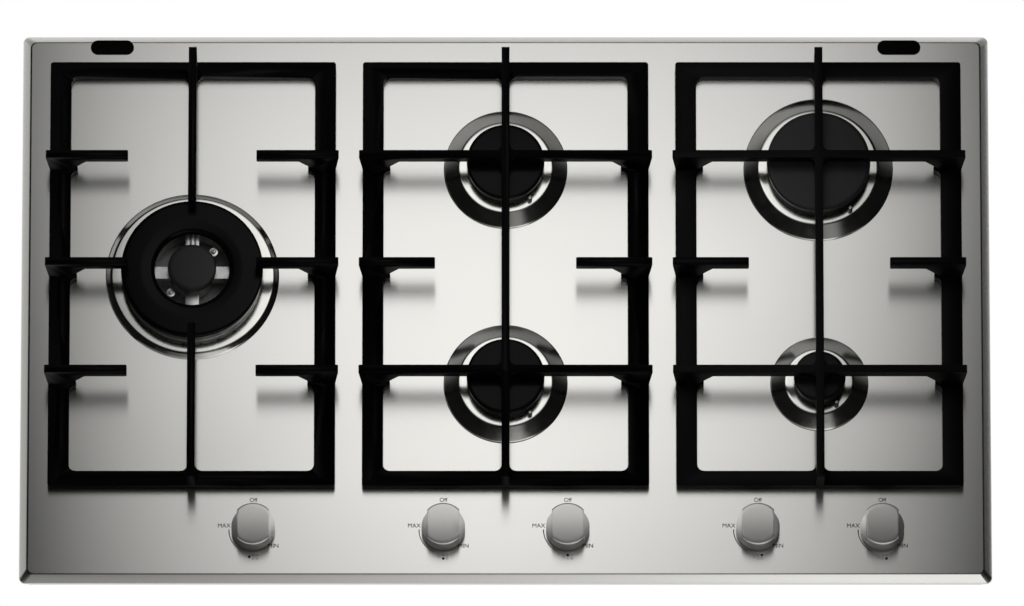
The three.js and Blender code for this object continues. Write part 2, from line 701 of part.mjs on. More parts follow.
function wokRingCap() {
  const [inner, outer, seat, top] = [WOK_CAP_HOLE, WOK_CAP, CAP_SEAT_Z, CAP_TOP_Z];
  const ribWall = WOK_RING_WALL + GAP;
  const [ribInner, ribOuter] = [WOK_HEAD_INNER + ribWall, crownRadius(WOK) - ribWall];
  return turned([
    [inner, seat + CAP_FOOT],
    [inner + CAP_FOOT, seat],
    [ribInner, seat],
    [ribInner, seat - WOK_RIB_DEPTH],
    [ribOuter, seat - WOK_RIB_DEPTH],
    [ribOuter, seat],
    [outer - CAP_FOOT, seat],
    [outer, seat + CAP_FOOT],
    [outer, top - CAP_SHOULDER],
    [outer - CAP_SHOULDER, top - CAP_DOME],
    [inner + 3 * CAP_SHOULDER, top],
    [inner + CAP_SHOULDER / 2, top - 2 * CAP_DOME],
    [inner, top - CAP_SHOULDER],
  ], SIDES_LARGE);
}

add('burner_ring_left', burnerRing(WOK, false), POLISHED_STEEL, WOK.x, WOK.y);
add('burner_cup_left', burnerCup(WOK, WOK_FLANGE_REACH), ALUMINIUM, WOK.x, WOK.y);
add('burner_head_left', wokHead(), ALUMINIUM, WOK.x, WOK.y);
add('burner_cap_left_outer', wokRingCap(), BLACK_ENAMEL, WOK.x, WOK.y);
add(
  'burner_cap_left_centre',
  burnerCap(
    WOK_CENTRE_CAP,
    WOK_HUB_TOP_Z + GAP,
    CAP_TOP_Z + WOK_CENTRE_CAP_LIFT,
    WOK_HUB_RADIUS - WOK_HUB_WALL - GAP,
    SIDES_MEDIUM,
  ),
  BLACK_ENAMEL,
  WOK.x,
  WOK.y,
);
function standInWok(name, angle, material) {
  const [dx, dy] = polar(WOK_GAP_RADIUS, angle);
  const floor = PLATE_Z - CUP_FLOOR_DROP + GAP;
  add(name, electrode(floor, ELECTRODE_TOP_Z), material, WOK.x + dx, WOK.y + dy);
}

standInWok('electrode_left', WOK_ELECTRODE_ANGLE, CERAMIC);
standInWok('flame_sensor_left', WOK_SENSOR_ANGLE, BRASS);

// ---------------------------------------------------------------------------------------------
// Grates: a frame of channel section, with blades that stand on it

const shapeOf = (points) => new THREE.Shape(points.map(([x, y]) => new THREE.Vector2(x, y)));

/** Extrudes a side view of [x, z] points along Y, half to each side of the XZ plane. */
const upright = (points, width) =>
  extruded(shapeOf(points), -width / 2, width / 2).rotateX(Math.PI / 2);

const BLADE_UNDER = GRATE_TOP - BLADE_HEIGHT;

/** A blade's side view: x runs inward over the frame's bar from its outer face, z is the height. */
function bladeOutline(bar, length, bothEnds) {
  const root = [
    [0, FRAME_TOP - FRAME_WALL / 2],
    [bar - FRAME_WALL / 2, FRAME_TOP - FRAME_WALL / 2],
    [bar - FRAME_WALL / 2, FRAME_TOP - BLADE_ROOT_DROP],
    [bar, FRAME_TOP - BLADE_ROOT_DROP],
    [bar + BLADE_ROOT_RISE / 3, FRAME_TOP + (BLADE_UNDER - FRAME_TOP) / 3],
    [bar + BLADE_ROOT_RISE, BLADE_UNDER],
  ];
  const end = [
    [BLADE_EDGE - BLADE_END_REACH, GRATE_TOP],
    [-BLADE_END_REACH, GRATE_TOP - BLADE_EDGE],
    [0, FRAME_TOP],
  ];
  const mirrored = (points) => points.map(([x, z]) => [length - x, z]).reverse();
  if (bothEnds) return [...root, ...mirrored(root), ...mirrored(end), ...end];
  const tip = [
    [length - BLADE_EDGE, BLADE_UNDER],
    [length, BLADE_UNDER + BLADE_EDGE],
    [length, GRATE_TOP - BLADE_EDGE],
    [length - BLADE_EDGE, GRATE_TOP],
  ];
  return [...root, ...tip, ...end];
}

/** Points of a quarter circle about a centre, from one angle in degrees to the next. */
function quarter(x, y, radius, from) {
  return Array.from({ length: FILLET_STEPS + 1 }, (_, i) => {
    const [dx, dy] = polar(radius, from + (90 * i) / FILLET_STEPS);
    return [x + dx, y + dy];
  });
}

/** The blade's root widens where it meets the inner wall of the frame's bar. */
function rootFlare(bar) {
  const reach = BLADE_WIDTH / 2 + BLADE_FILLET;
  const upper = quarter(bar + BLADE_FILLET, reach, BLADE_FILLET, 180);
  const lower = upper.map(([x, y]) => [x, -y]).reverse();
  const inWall = bar - FRAME_WALL / 2;
  const outline = shapeOf([[inWall, reach], ...upper, ...lower, [inWall, -reach]]);
  return extruded(outline, FRAME_BOTTOM + FLARE_LIFT, FRAME_TOP);
}

/** A filleted crossing of two blades. */
function crossing() {
  const reach = BLADE_WIDTH / 2 + BLADE_FILLET;
  const corners = [[reach, reach, 180], [-reach, reach, 270], [-reach, -reach, 0], [reach, -reach, 90]];
  const outline = corners.flatMap(([x, y, from]) => quarter(x, y, BLADE_FILLET, from).reverse());
  return extruded(shapeOf(outline), BLADE_UNDER, GRATE_TOP - CROSSING_DROP);
}

/** Where a blade starts on each side of the frame, the way it then runs, and the bar it starts on. */
const SIDES = {
  left: (along) => [-GRATE_WIDTH / 2, along, 0, FRAME_SIDE_BAR],
  right: (along) => [GRATE_WIDTH / 2, along, 180, FRAME_SIDE_BAR],
  rear: (along) => [along, GRATE_DEPTH / 2, -90, FRAME_BAR],
  front: (along) => [along, -GRATE_DEPTH / 2, 90, FRAME_BAR],
};

function blade(side, along, length, bothEnds = false) {
  const [x, y, turn, bar] = SIDES[side](along);
  return joined([upright(bladeOutline(bar, length, bothEnds), BLADE_WIDTH), rootFlare(bar)])
    .rotateZ(radians(turn))
    .translate(x, y, 0);
}

const through = (side, along, length) => {
  const opposite = { left: 'right', rear: 'front' }[side];
  const [x, y, turn, bar] = SIDES[opposite](along);
  const farFlare = rootFlare(bar).rotateZ(radians(turn)).translate(x, y, 0);
  return joined([blade(side, along, length, true), farFlare]);
};

function grateFrame() {
  const ring = (wall) => {
    const outer = [GRATE_WIDTH - 2 * wall, GRATE_DEPTH - 2 * wall];
    const opening = [GRATE_WIDTH - 2 * FRAME_SIDE_BAR + 2 * wall, GRATE_DEPTH - 2 * FRAME_BAR + 2 * wall];
    const shape = roundedRectangle(...outer, FRAME_OUTER_CORNER);
    shape.holes.push(roundedRectangle(...opening, FRAME_INNER_CORNER));
    return shape;
  };
  const frame = extruded(ring(0), FRAME_BOTTOM, FRAME_TOP);
  const channel = extruded(ring(FRAME_WALL), FRAME_BOTTOM - CUT_PAST, FRAME_TOP - FRAME_WALL);
  const wedge = [
    [-CUT_PAST, FRAME_BOTTOM - CUT_PAST],
    [CORNER_CUT_LENGTH, FRAME_BOTTOM - CUT_PAST],
    [CORNER_CUT_LENGTH, FRAME_BOTTOM],
    [0, FRAME_BOTTOM + CORNER_CUT_HEIGHT],
    [-CUT_PAST, FRAME_BOTTOM + CORNER_CUT_HEIGHT],
  ];
  const barY = (GRATE_DEPTH - FRAME_BAR) / 2;
  const cornerCuts = [barY, -barY].flatMap((y) =>
    ['left', 'right'].map((side) => {
      const [x, , turn] = SIDES[side](0);
      return upright(wedge, FRAME_BAR + 2 * CUT_PAST).rotateZ(radians(turn)).translate(x, y, 0);
    }),
  );
  const footX = (GRATE_WIDTH - FRAME_SIDE_BAR) / 2;
  const footY = GRATE_DEPTH / 2 - FOOT_FROM_END;
  const feet = [[-footX, -footY], [footX, -footY], [-footX, footY], [footX, footY]].map(([x, y]) =>
    cylinder(FOOT_RADIUS, GAP, FRAME_TOP - FRAME_WALL / 2, SIDES_SMALL).translate(x, y, 0),
  );
  return joined([cut(frame, [channel, ...cornerCuts]), ...feet]);
}

/** The open grate: every blade stops short of the large burner's axis. */
function openGrate() {
  const side = GRATE_WIDTH / 2 - WOK_TIP_RADIUS;
  const end = GRATE_DEPTH / 2 - WOK_TIP_RADIUS;
  const rows = [ROW_PITCH / 2, 0, -ROW_PITCH / 2];
  return joined([
    grateFrame(),
    ...rows.flatMap((row) => [blade('left', row, side), blade('right', row, side)]),
    blade('rear', 0, end),
    blade('front', 0, end),
  ]).translate(0, 0, PLATE_Z);
}

/** A grate for two burners: blades cross over each of them. */
function crossedGrate() {
  const side = GRATE_WIDTH / 2 - SIDE_TIP_OFFSET;
  const rows = [ROW_PITCH / 2, -ROW_PITCH / 2];
  return joined([
    grateFrame(),
    through('rear', 0, GRATE_DEPTH),
    ...rows.flatMap((row) => [through('left', row, GRATE_WIDTH), crossing().translate(0, row, 0)]),
    blade('left', 0, side),
    blade('right', 0, side),
  ]).translate(0, 0, PLATE_Z);
}

add('grate_left', openGrate(), CAST_IRON, -COLUMN_PITCH, GRATE_CENTRE_Y);
add('grate_centre', crossedGrate(), CAST_IRON, 0, GRATE_CENTRE_Y);
add('grate_right', crossedGrate(), CAST_IRON, COLUMN_PITCH, GRATE_CENTRE_Y);

// ---------------------------------------------------------------------------------------------
// Taps: a knob on a spindle that turns and pushes in a valve, and the pipe to the burner

function knob() {
  const [radius, foot, top] = [KNOB_RADIUS, PLATE_Z + KNOB_CLEARANCE, PLATE_Z + KNOB_HEIGHT];
  const [bore, boreTop] = [SPINDLE_RADIUS + GAP, PLATE_Z + SPINDLE_TOP + GAP];
  const body = turned([
    [bore, foot],
    [radius, foot],
    [radius, top - KNOB_EDGE],
    [radius - KNOB_EDGE, top],
    [0, top],
    [0, boreTop],
    [bore, boreTop],
  ], SIDES_MEDIUM);
  const flank = (sign) => {
    const edges = [(sign * KNOB_GRIP_WIDTH) / 2, sign * (radius + CUT_PAST)].sort((a, b) => a - b);
    return block([edges[0], -radius, PLATE_Z + KNOB_FLANK_HEIGHT], [edges[1], radius, top + CUT_PAST]);
  };
  return cut(body, [flank(-1), flank(1)]);
}

const BORE_FLOOR_Z = VALVE_Z + VALVE_FLOOR;

function spindle() {
  return turned([
    [0, BORE_FLOOR_Z + PUSH_TRAVEL + 2 * GAP],
    [PLUG_RADIUS, BORE_FLOOR_Z + PUSH_TRAVEL + 2 * GAP],
    [PLUG_RADIUS, VALVE_TOP_Z - GAP],
    [SPINDLE_RADIUS, VALVE_TOP_Z - GAP],
    [SPINDLE_RADIUS, PLATE_Z + SPINDLE_TOP],
    [0, PLATE_Z + SPINDLE_TOP],
  ], SIDES_SMALL);
}

function valveBody() {
  const [x, y] = [VALVE_WIDTH / 2, VALVE_DEPTH / 2];
  const body = block([-x, -y, VALVE_Z], [x, y, VALVE_TOP_Z]);
  const neck = cylinder(VALVE_NECK_RADIUS, VALVE_TOP_Z - BOND, NECK_TOP_Z, SIDES_SMALL);
  const outlet = cylinder(OUTLET_RADIUS, -OUTLET_LENGTH, BOND, SIDES_SMALL)
    .rotateX(Math.PI / 2)
    .translate(0, y, OUTLET_Z);
  const bore = turned([
    [0, BORE_FLOOR_Z],
    [PLUG_RADIUS + GAP, BORE_FLOOR_Z],
    [PLUG_RADIUS + GAP, VALVE_TOP_Z],
    [SPINDLE_RADIUS + GAP, VALVE_TOP_Z],
    [SPINDLE_RADIUS + GAP, NECK_TOP_Z + CUT_PAST],
    [0, NECK_TOP_Z + CUT_PAST],
  ], SIDES_SMALL);
  return cut(joined([body, neck, outlet]), [bore]);
}

/** From the valve's outlet straight back, then round a bend to the burner's stem. */
function feedPipe({ x, burner }) {
  const away = new THREE.Vector2(x - burner.x, -FEED_APPROACH).normalize();
  const nearStem = (distance) => [
    burner.x + away.x * (burner.stem + distance),
    burner.y + away.y * (burner.stem + distance),
  ];
  const stops = [
    [x, OUTLET_Y + GAP],
    [x, OUTLET_Y + FEED_STRAIGHT],
    [x, burner.y - FEED_APPROACH],
    nearStem(FEED_STRAIGHT),
    nearStem(GAP),
  ];
  return pipe(stops.map((stop) => [...stop, OUTLET_Z]), FEED_PIPE_RADIUS, FEED_STEPS, SIDES_PIPE);
}

for (const tap of TAPS) {
  add(`knob_${tap.name}`, knob(), SATIN_METAL, tap.x, TAP_Y);
  add(`spindle_${tap.name}`, spindle(), BRASS, tap.x, TAP_Y);
  add(`valve_body_${tap.name}`, valveBody(), BRASS, tap.x, TAP_Y);
  add(`feed_pipe_${tap.name}`, feedPipe(tap), ALUMINIUM);
}

// ---------------------------------------------------------------------------------------------
// Gas supply

function gasManifold() {
  return cylinder(MANIFOLD_RADIUS, MANIFOLD_LEFT, MANIFOLD_RIGHT, SIDES_SMALL)
    .rotateY(Math.PI / 2)
    .translate(0, TAP_Y, MANIFOLD_Z);
}

/** From the manifold's right end round a bend to the threaded inlet at the rear. */
function gasInletPipe() {
  const stubStart = TRAY_REAR_Y - 2 * INLET_STUB_LENGTH;
  const stops = [
    [MANIFOLD_RIGHT + GAP, TAP_Y],
    [MANIFOLD_RIGHT + INLET_BEND / 3, TAP_Y],
    [INLET_X - INLET_BEND / 6, TAP_Y + INLET_BEND / 3],
    [INLET_X, TAP_Y + INLET_BEND],
    [INLET_X, stubStart - 2 * INLET_BEND],
    [INLET_X, stubStart + INLET_SOCKET],
  ];
  const route = stops.map((stop) => [...stop, MANIFOLD_Z]);
  const run = pipe(route, INLET_PIPE_RADIUS, INLET_STEPS, SIDES_PIPE);
  const stub = cylinder(INLET_STUB_RADIUS, -INLET_STUB_LENGTH, 2 * INLET_STUB_LENGTH, SIDES_SMALL)
    .rotateX(Math.PI / 2)
    .translate(INLET_X, TRAY_REAR_Y, MANIFOLD_Z);
  const bore = cylinder(
    INLET_PIPE_RADIUS,
    -INLET_STUB_LENGTH - CUT_PAST,
    INLET_BORE_DEPTH - INLET_STUB_LENGTH,
    SIDES_SMALL,
  )
    .rotateX(Math.PI / 2)
    .translate(INLET_X, TRAY_REAR_Y, MANIFOLD_Z);
  return cut(joined([run, stub]), [bore]);
}

add('gas_manifold', gasManifold(), GALVANISED);
add('gas_inlet_pipe', gasInletPipe(), GALVANISED);

// ---------------------------------------------------------------------------------------------
// Electrics

/** A strip that lies on the valves and holds a spark switch round each neck. */
function switchStrip() {
  const [left, right] = [MANIFOLD_LEFT, MANIFOLD_RIGHT];
  const [bottom, half] = [VALVE_TOP_Z + GAP, SWITCH_STRIP_DEPTH / 2];
  const strip = block(
    [left, TAP_Y - half, bottom],
    [right, TAP_Y + half, bottom + SWITCH_STRIP_HEIGHT],
  );
  const [low, high] = [bottom - CUT_PAST, bottom + SWITCH_STRIP_HEIGHT + CUT_PAST];
  const holes = tapXs.map((x) =>
    cylinder(VALVE_NECK_RADIUS + GAP, low, high, SIDES_SMALL).translate(x, TAP_Y, 0),
  );
  return cut(strip, holes);
}

function sparkGenerator() {
  const [width, depth, height] = SPARK_BOX;
  const floor = SHEET + GAP;
  const box = block([-width / 2, -depth / 2, floor], [width / 2, depth / 2, floor + height]);
  const pitch = width / (TAPS.length + 1);
  const lid = floor + height;
  const terminals = TAPS.map((_, i) =>
    cylinder(SPARK_TERMINAL_RADIUS, lid - BOND, lid + SPARK_TERMINAL_HEIGHT, SIDES_PIPE)
      .translate((i + 1) * pitch - width / 2, 0, 0),
  );
  return joined([box, ...terminals]);
}

/** The mains terminals, with a gland for the lead that passes through the tray's rear wall. */
function terminalBox() {
  const [width, depth, height] = TERMINAL_BOX;
  const [floor, rear] = [SHEET + GAP, TRAY_REAR_Y - SHEET - GAP];
  const box = block([-width / 2, rear - depth, floor], [width / 2, rear, floor + height]);
  const along = (radius, from, to) =>
    cylinder(radius, -to, -from, SIDES_SMALL).rotateX(Math.PI / 2).translate(0, TRAY_REAR_Y, GLAND_Z);
  const gland = along(CABLE_GLAND_RADIUS, -depth / 2, CABLE_GLAND_LENGTH);
  const bore = along(CABLE_GLAND_RADIUS / 2, 0, CABLE_GLAND_LENGTH + CUT_PAST);
  return cut(joined([box, gland]), [bore]);
}

add('spark_switch_strip', switchStrip(), BLACK_PLASTIC);
add('spark_generator', sparkGenerator(), BLACK_PLASTIC, SPARK_BOX_X, TAP_Y + SPARK_BOX_FROM_TAPS);
add('terminal_box', terminalBox(), BLACK_PLASTIC, TERMINAL_BOX_X);

export default cooktop;
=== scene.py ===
# %% [markdown]
# # A built-in gas cooktop
#
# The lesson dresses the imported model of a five-burner cooktop. Its round and rounded pieces are
# modelled again with Blender's own tools, finer than the construction model has them, and every
# other node gets the finish of its metal, enamel, rubber or plastic. All sizes are millimetres in
# the text and metres in Blender, so each length is multiplied by MM.

# %% Load the frame
import json
import math

import bpy
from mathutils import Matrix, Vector

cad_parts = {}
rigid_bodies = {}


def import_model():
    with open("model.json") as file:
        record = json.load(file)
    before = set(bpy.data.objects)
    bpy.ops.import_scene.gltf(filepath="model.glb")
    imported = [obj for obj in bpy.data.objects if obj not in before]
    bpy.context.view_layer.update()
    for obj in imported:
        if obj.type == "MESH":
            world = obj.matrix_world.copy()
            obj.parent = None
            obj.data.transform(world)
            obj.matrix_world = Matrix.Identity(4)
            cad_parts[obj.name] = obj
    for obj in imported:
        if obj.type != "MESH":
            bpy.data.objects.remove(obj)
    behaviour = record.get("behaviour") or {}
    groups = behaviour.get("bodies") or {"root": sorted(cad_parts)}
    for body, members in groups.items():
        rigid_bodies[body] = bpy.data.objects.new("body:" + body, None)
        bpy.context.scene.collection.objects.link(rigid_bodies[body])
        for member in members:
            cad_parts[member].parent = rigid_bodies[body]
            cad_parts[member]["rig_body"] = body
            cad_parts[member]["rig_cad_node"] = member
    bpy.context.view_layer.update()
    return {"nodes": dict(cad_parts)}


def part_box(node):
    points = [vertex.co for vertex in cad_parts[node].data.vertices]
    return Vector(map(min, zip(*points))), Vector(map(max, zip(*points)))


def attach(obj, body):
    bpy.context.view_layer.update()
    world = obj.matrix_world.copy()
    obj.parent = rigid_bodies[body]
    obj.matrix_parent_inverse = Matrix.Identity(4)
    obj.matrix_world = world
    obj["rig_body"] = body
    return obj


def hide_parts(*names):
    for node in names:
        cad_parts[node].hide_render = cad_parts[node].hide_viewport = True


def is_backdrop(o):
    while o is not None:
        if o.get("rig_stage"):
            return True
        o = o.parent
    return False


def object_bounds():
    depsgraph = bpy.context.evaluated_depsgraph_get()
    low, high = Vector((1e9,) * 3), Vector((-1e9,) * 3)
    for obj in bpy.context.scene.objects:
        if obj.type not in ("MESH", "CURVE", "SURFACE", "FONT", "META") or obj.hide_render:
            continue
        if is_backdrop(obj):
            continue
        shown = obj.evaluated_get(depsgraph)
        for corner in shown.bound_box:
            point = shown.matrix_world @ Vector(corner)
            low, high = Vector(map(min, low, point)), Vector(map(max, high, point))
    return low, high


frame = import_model()
MM = 0.001
BURNERS = ["left", "rear_centre", "front_centre", "rear_right", "front_right"]
SIMPLE_BURNERS = BURNERS[1:]

# %% [markdown]
# ## The camera
#
# The photograph looks down on the cooktop from in front, with a long lens: its sides stay parallel
# and its circles are only slightly flattened. So the camera stands far off, tips forward by a
# small angle from straight down, and its focal length follows from the width that one millimetre
# has in the picture.

# %% Camera
FRAME_WIDTH = 1024  # pixels
PIXELS_PER_MM = 1.127  # at the plate
CAMERA_DISTANCE = 16000  # mm
CAMERA_TILT = math.radians(18)  # from straight down, towards the front
AIM = Vector((5.7, 3.7, 60)) * MM
SENSOR = 36

camera_data = bpy.data.cameras.new("camera")
camera_data.sensor_width = SENSOR
camera_data.lens = PIXELS_PER_MM * CAMERA_DISTANCE / FRAME_WIDTH * SENSOR
camera_data.clip_end = 100
camera = bpy.data.objects.new("camera", camera_data)
bpy.context.scene.collection.objects.link(camera)
away = Vector((0, -math.sin(CAMERA_TILT), math.cos(CAMERA_TILT)))
camera.location = AIM + away * CAMERA_DISTANCE * MM
camera.rotation_euler = (CAMERA_TILT, 0, 0)
bpy.context.scene.camera = camera
print("lens:", round(camera_data.lens, 1), "mm")

# %% [markdown]
# ## Small helpers
#
# An operator acts on whatever is selected, and the loaded nodes are selected, so every step starts
# by deselecting. Faces and edges are then picked by their place, as the eye would do it.

# %% Selecting and applying
def deselect_all():
    if bpy.context.mode != "OBJECT":
        bpy.ops.object.mode_set(mode="OBJECT")
    bpy.ops.object.select_all(action="DESELECT")


def make_active(piece):
    deselect_all()
    piece.select_set(True)
    bpy.context.view_layer.objects.active = piece


def start_edit(piece, select="NONE"):
    make_active(piece)
    bpy.ops.object.mode_set(mode="EDIT")
    bpy.ops.mesh.select_mode(type="VERT")
    bpy.ops.mesh.select_all(action="DESELECT" if select == "NONE" else "SELECT")


def pick(piece, kind, test):
    """Selects the vertices, edges or faces that pass a test, and goes on in edit mode."""
    bpy.ops.object.mode_set(mode="EDIT")
    bpy.ops.mesh.select_mode(type=kind)
    bpy.ops.mesh.select_all(action="DESELECT")
    bpy.ops.object.mode_set(mode="OBJECT")
    mesh = piece.data
    items = {"VERT": mesh.vertices, "EDGE": mesh.edges, "FACE": mesh.polygons}[kind]
    for item in items:
        item.select = test(item)
    bpy.ops.object.mode_set(mode="EDIT")


def edge_ends(piece, edge):
    """An edge's two corners, in millimetres."""
    return [piece.data.vertices[i].co / MM for i in edge.vertices]


def add_modifier(piece, kind, **settings):
    modifier = piece.modifiers.new(kind.lower(), kind)
    for name, value in settings.items():
        setattr(modifier, name, value)
    make_active(piece)
    bpy.ops.object.modifier_apply(modifier=modifier.name)


def soften(piece, width, segments=3, angle=30):
    """Rounds every edge sharper than an angle, as casting, pressing or tumbling does."""
    add_modifier(piece, "BEVEL", width=width * MM, segments=segments, limit_method="ANGLE",
                 angle_limit=math.radians(angle), harden_normals=False, use_clamp_overlap=True)


def finish_piece(piece, name, body, material, replaces=(), smooth=35, merge=0.001):
    """Cleans a mesh, shades it smooth but for its sharp edges, and lets it ride on its body."""
    start_edit(piece, "ALL")
    bpy.ops.mesh.remove_doubles(threshold=merge * MM)
    bpy.ops.mesh.normals_make_consistent(inside=False)
    bpy.ops.object.mode_set(mode="OBJECT")
    bpy.ops.object.transform_apply(location=True, rotation=True, scale=True)
    bpy.ops.object.shade_smooth_by_angle(angle=math.radians(smooth))
    piece.name = name
    piece.data.name = name
    if material:
        piece.data.materials.clear()
        piece.data.materials.append(material)
    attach(piece, body)
    if replaces:
        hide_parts(*replaces)
    return piece


# %% Turning on the lathe
def turned(profile, sides, at=(0, 0)):
    """A ring of points is extruded, scaled and lifted from step to step of a profile.

    The profile is a list of (radius, height). One that ends at radius 0 closes in a pole, and one
    that ends where it began closes on itself."""
    deselect_all()
    (radius, height), *steps = profile
    bpy.ops.mesh.primitive_circle_add(
        vertices=sides, radius=radius * MM, location=(at[0] * MM, at[1] * MM, height * MM))
    piece = bpy.context.object
    bpy.ops.object.transform_apply(location=True, rotation=False, scale=False)
    start_edit(piece, "ALL")
    for next_radius, next_height in steps:
        bpy.ops.mesh.extrude_region_move(
            TRANSFORM_OT_translate={"value": (0, 0, (next_height - height) * MM)})
        if next_radius == 0:
            bpy.ops.mesh.merge(type="CENTER")
            break
        share = next_radius / radius
        bpy.ops.transform.resize(value=(share, share, 1),
                                 center_override=(at[0] * MM, at[1] * MM, next_height * MM))
        radius, height = next_radius, next_height
    bpy.ops.mesh.select_all(action="SELECT")
    bpy.ops.mesh.remove_doubles(threshold=0.001 * MM)
    bpy.ops.mesh.normals_make_consistent(inside=False)
    bpy.ops.object.mode_set(mode="OBJECT")
    return piece


def closed_at_start(piece, height):
    """Fills the ring of edges at a height with one face."""
    pick(piece, "EDGE", lambda e: all(abs(p.z - height) < 0.01 for p in edge_ends(piece, e)))
    bpy.ops.mesh.edge_face_add()
    bpy.ops.object.mode_set(mode="OBJECT")
    return piece


def rounded(points, radius, steps=4):
    """Rounds the inner corners of a profile with arcs, so that the lathe turns soft shoulders."""
    smooth = [points[0]]
    for before, corner, after in zip(points, points[1:], points[2:]):
        a, b, c = (Vector((p[0], p[1])) for p in (before, corner, after))
        back, ahead = (a - b), (c - b)
        reach = min(radius, back.length / 2.05, ahead.length / 2.05)
        if back.normalized().dot(ahead.normalized()) < -0.999:
            smooth.append(corner)
            continue
        start, end = b + back.normalized() * reach, b + ahead.normalized() * reach
        for i in range(steps + 1):
            t = i / steps
            p = start * (1 - t) ** 2 + b * 2 * t * (1 - t) + end * t ** 2
            smooth.append((p.x, p.y))
    smooth.append(points[-1])
    return smooth


# %% Measuring the frame
def extents(node):
    """A node's lowest and highest corner, in millimetres."""
    low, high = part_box(node)
    return low / MM, high / MM


def centre_of(node):
    low, high = extents(node)
    return (low.x + high.x) / 2, (low.y + high.y) / 2


def radius_of(node):
    low, high = extents(node)
    return (high.x - low.x) / 2


plate_low, plate_high = extents("top_plate")
PLATE_Z = plate_high.z
KNOB_ROW = centre_of("knob_left")[1]
print("plate surface at", round(PLATE_Z, 2), "mm")

# %% [markdown]
# ## Materials
#
# One function adds a shader node with its settings and links, and one turns an sRGB hex colour into
# the linear values that shaders use. Each finish is named for what it is and how it was made.

# %% Shader helpers
def linear(hex_colour):
    """An sRGB hex colour as linear red, green, blue and alpha."""
    channels = [int(hex_colour[i:i + 2], 16) / 255 for i in (1, 3, 5)]
    return [c / 12.92 if c <= 0.04045 else ((c + 0.055) / 1.055) ** 2.4 for c in channels] + [1.0]


def add_node(tree, kind, inputs=None, **settings):
    made = tree.nodes.new(kind)
    for name, value in settings.items():
        setattr(made, name, value)
    for name, value in (inputs or {}).items():
        if isinstance(value, bpy.types.NodeSocket):
            tree.links.new(value, made.inputs[name])
        else:
            made.inputs[name].default_value = value
    return made


def new_material(name):
    material = bpy.data.materials.new(name)
    material.use_nodes = True
    tree = material.node_tree
    shader = tree.nodes["Principled BSDF"]
    place = add_node(tree, "ShaderNodeTexCoord").outputs["Object"]
    return material, tree, shader, place


def mottle(tree, place, size, stretch=(1, 1, 1), detail=4.0):
    """A random pattern whose features are about size mm across, drawn out along the axes."""
    scale = [1 / (size * MM * s) for s in stretch]
    mapped = add_node(tree, "ShaderNodeMapping", {"Vector": place, "Scale": scale})
    inputs = {"Vector": mapped.outputs["Vector"], "Scale": 1.0, "Detail": detail}
    return add_node(tree, "ShaderNodeTexNoise", inputs).outputs["Fac"]


MIDDLE = {"From Min": 0.3, "From Max": 0.7}  # a random pattern lies mostly between these


def give_finish(tree, shader, colours, colour_by, rough, rough_by, relief, depth):
    """Colour and gloss follow patterns between two limits. Relief is pressed in, depth mm deep."""
    share = add_node(tree, "ShaderNodeMapRange", {"Value": colour_by, **MIDDLE})
    ends = {0: share.outputs["Result"], 6: linear(colours[0]), 7: linear(colours[1])}
    colour = add_node(tree, "ShaderNodeMix", ends, data_type="RGBA")
    tree.links.new(colour.outputs[2], shader.inputs["Base Color"])
    limits = {"Value": rough_by, **MIDDLE, "To Min": rough[0], "To Max": rough[1]}
    gloss = add_node(tree, "ShaderNodeMapRange", limits).outputs["Result"]
    tree.links.new(gloss, shader.inputs["Roughness"])
    pressed = {"Height": relief, "Distance": depth * MM, "Strength": 1.0}
    made = add_node(tree, "ShaderNodeBump", pressed)
    tree.links.new(made.outputs["Normal"], shader.inputs["Normal"])
    return gloss


def set_values(shader, **values):
    for name, value in values.items():
        shader.inputs[name.replace("_", " ")].default_value = value


# %% [markdown]
# **Brushed stainless steel.** The plate is 304 sheet, brushed along its length with a fine belt.
# The scratches lie along X, so a reflection is drawn out across them, along Y, and stays crisp
# along X. An anisotropic shader gives that: it blurs along its tangent, which a UV map lays along
# Y. Real scratches are some 0.05 mm wide; they are drawn about 0.5 mm wide and 60 mm long.

# %% Brushed stainless steel
def brushed_stainless():
    material, tree, shader, place = new_material("brushed stainless steel 304")
    streaks = mottle(tree, place, 0.6, (110, 1, 1))
    clouds = mottle(tree, place, 160, (2.2, 1, 1), 2)
    gloss = give_finish(tree, shader, ("#d6d5d1", "#dad9d5"), streaks, (0.21, 0.23), streaks,
                        streaks, 0.0006)
    uneven = add_node(tree, "ShaderNodeMapRange",
                      {"Value": clouds, **MIDDLE, "To Min": -0.01, "To Max": 0.01})
    total = add_node(tree, "ShaderNodeMath", {0: gloss, 1: uneven.outputs["Result"]},
                     operation="ADD")
    tree.links.new(total.outputs[0], shader.inputs["Roughness"])
    set_values(shader, Metallic=1.0, Anisotropic=0.9)
    grain = add_node(tree, "ShaderNodeTangent", direction_type="UV_MAP", uv_map="grain")
    tree.links.new(grain.outputs["Tangent"], shader.inputs["Tangent"])
    return material


# %% [markdown]
# **Polished stainless steel.** The rings round the burners are spun and buffed, so they mirror the
# dark room and the light box, with edges that fine swirls soften. A faint ripple, 9 mm across,
# keeps them from looking computed.

# %% Polished stainless steel
def polished_stainless():
    material, tree, shader, place = new_material("buffed stainless steel")
    ripple = mottle(tree, place, 9, detail=2)
    give_finish(tree, shader, ("#c8c7c2", "#d2d1cc"), ripple, (0.14, 0.18), ripple, ripple, 0.01)
    set_values(shader, Metallic=1.0)
    return material
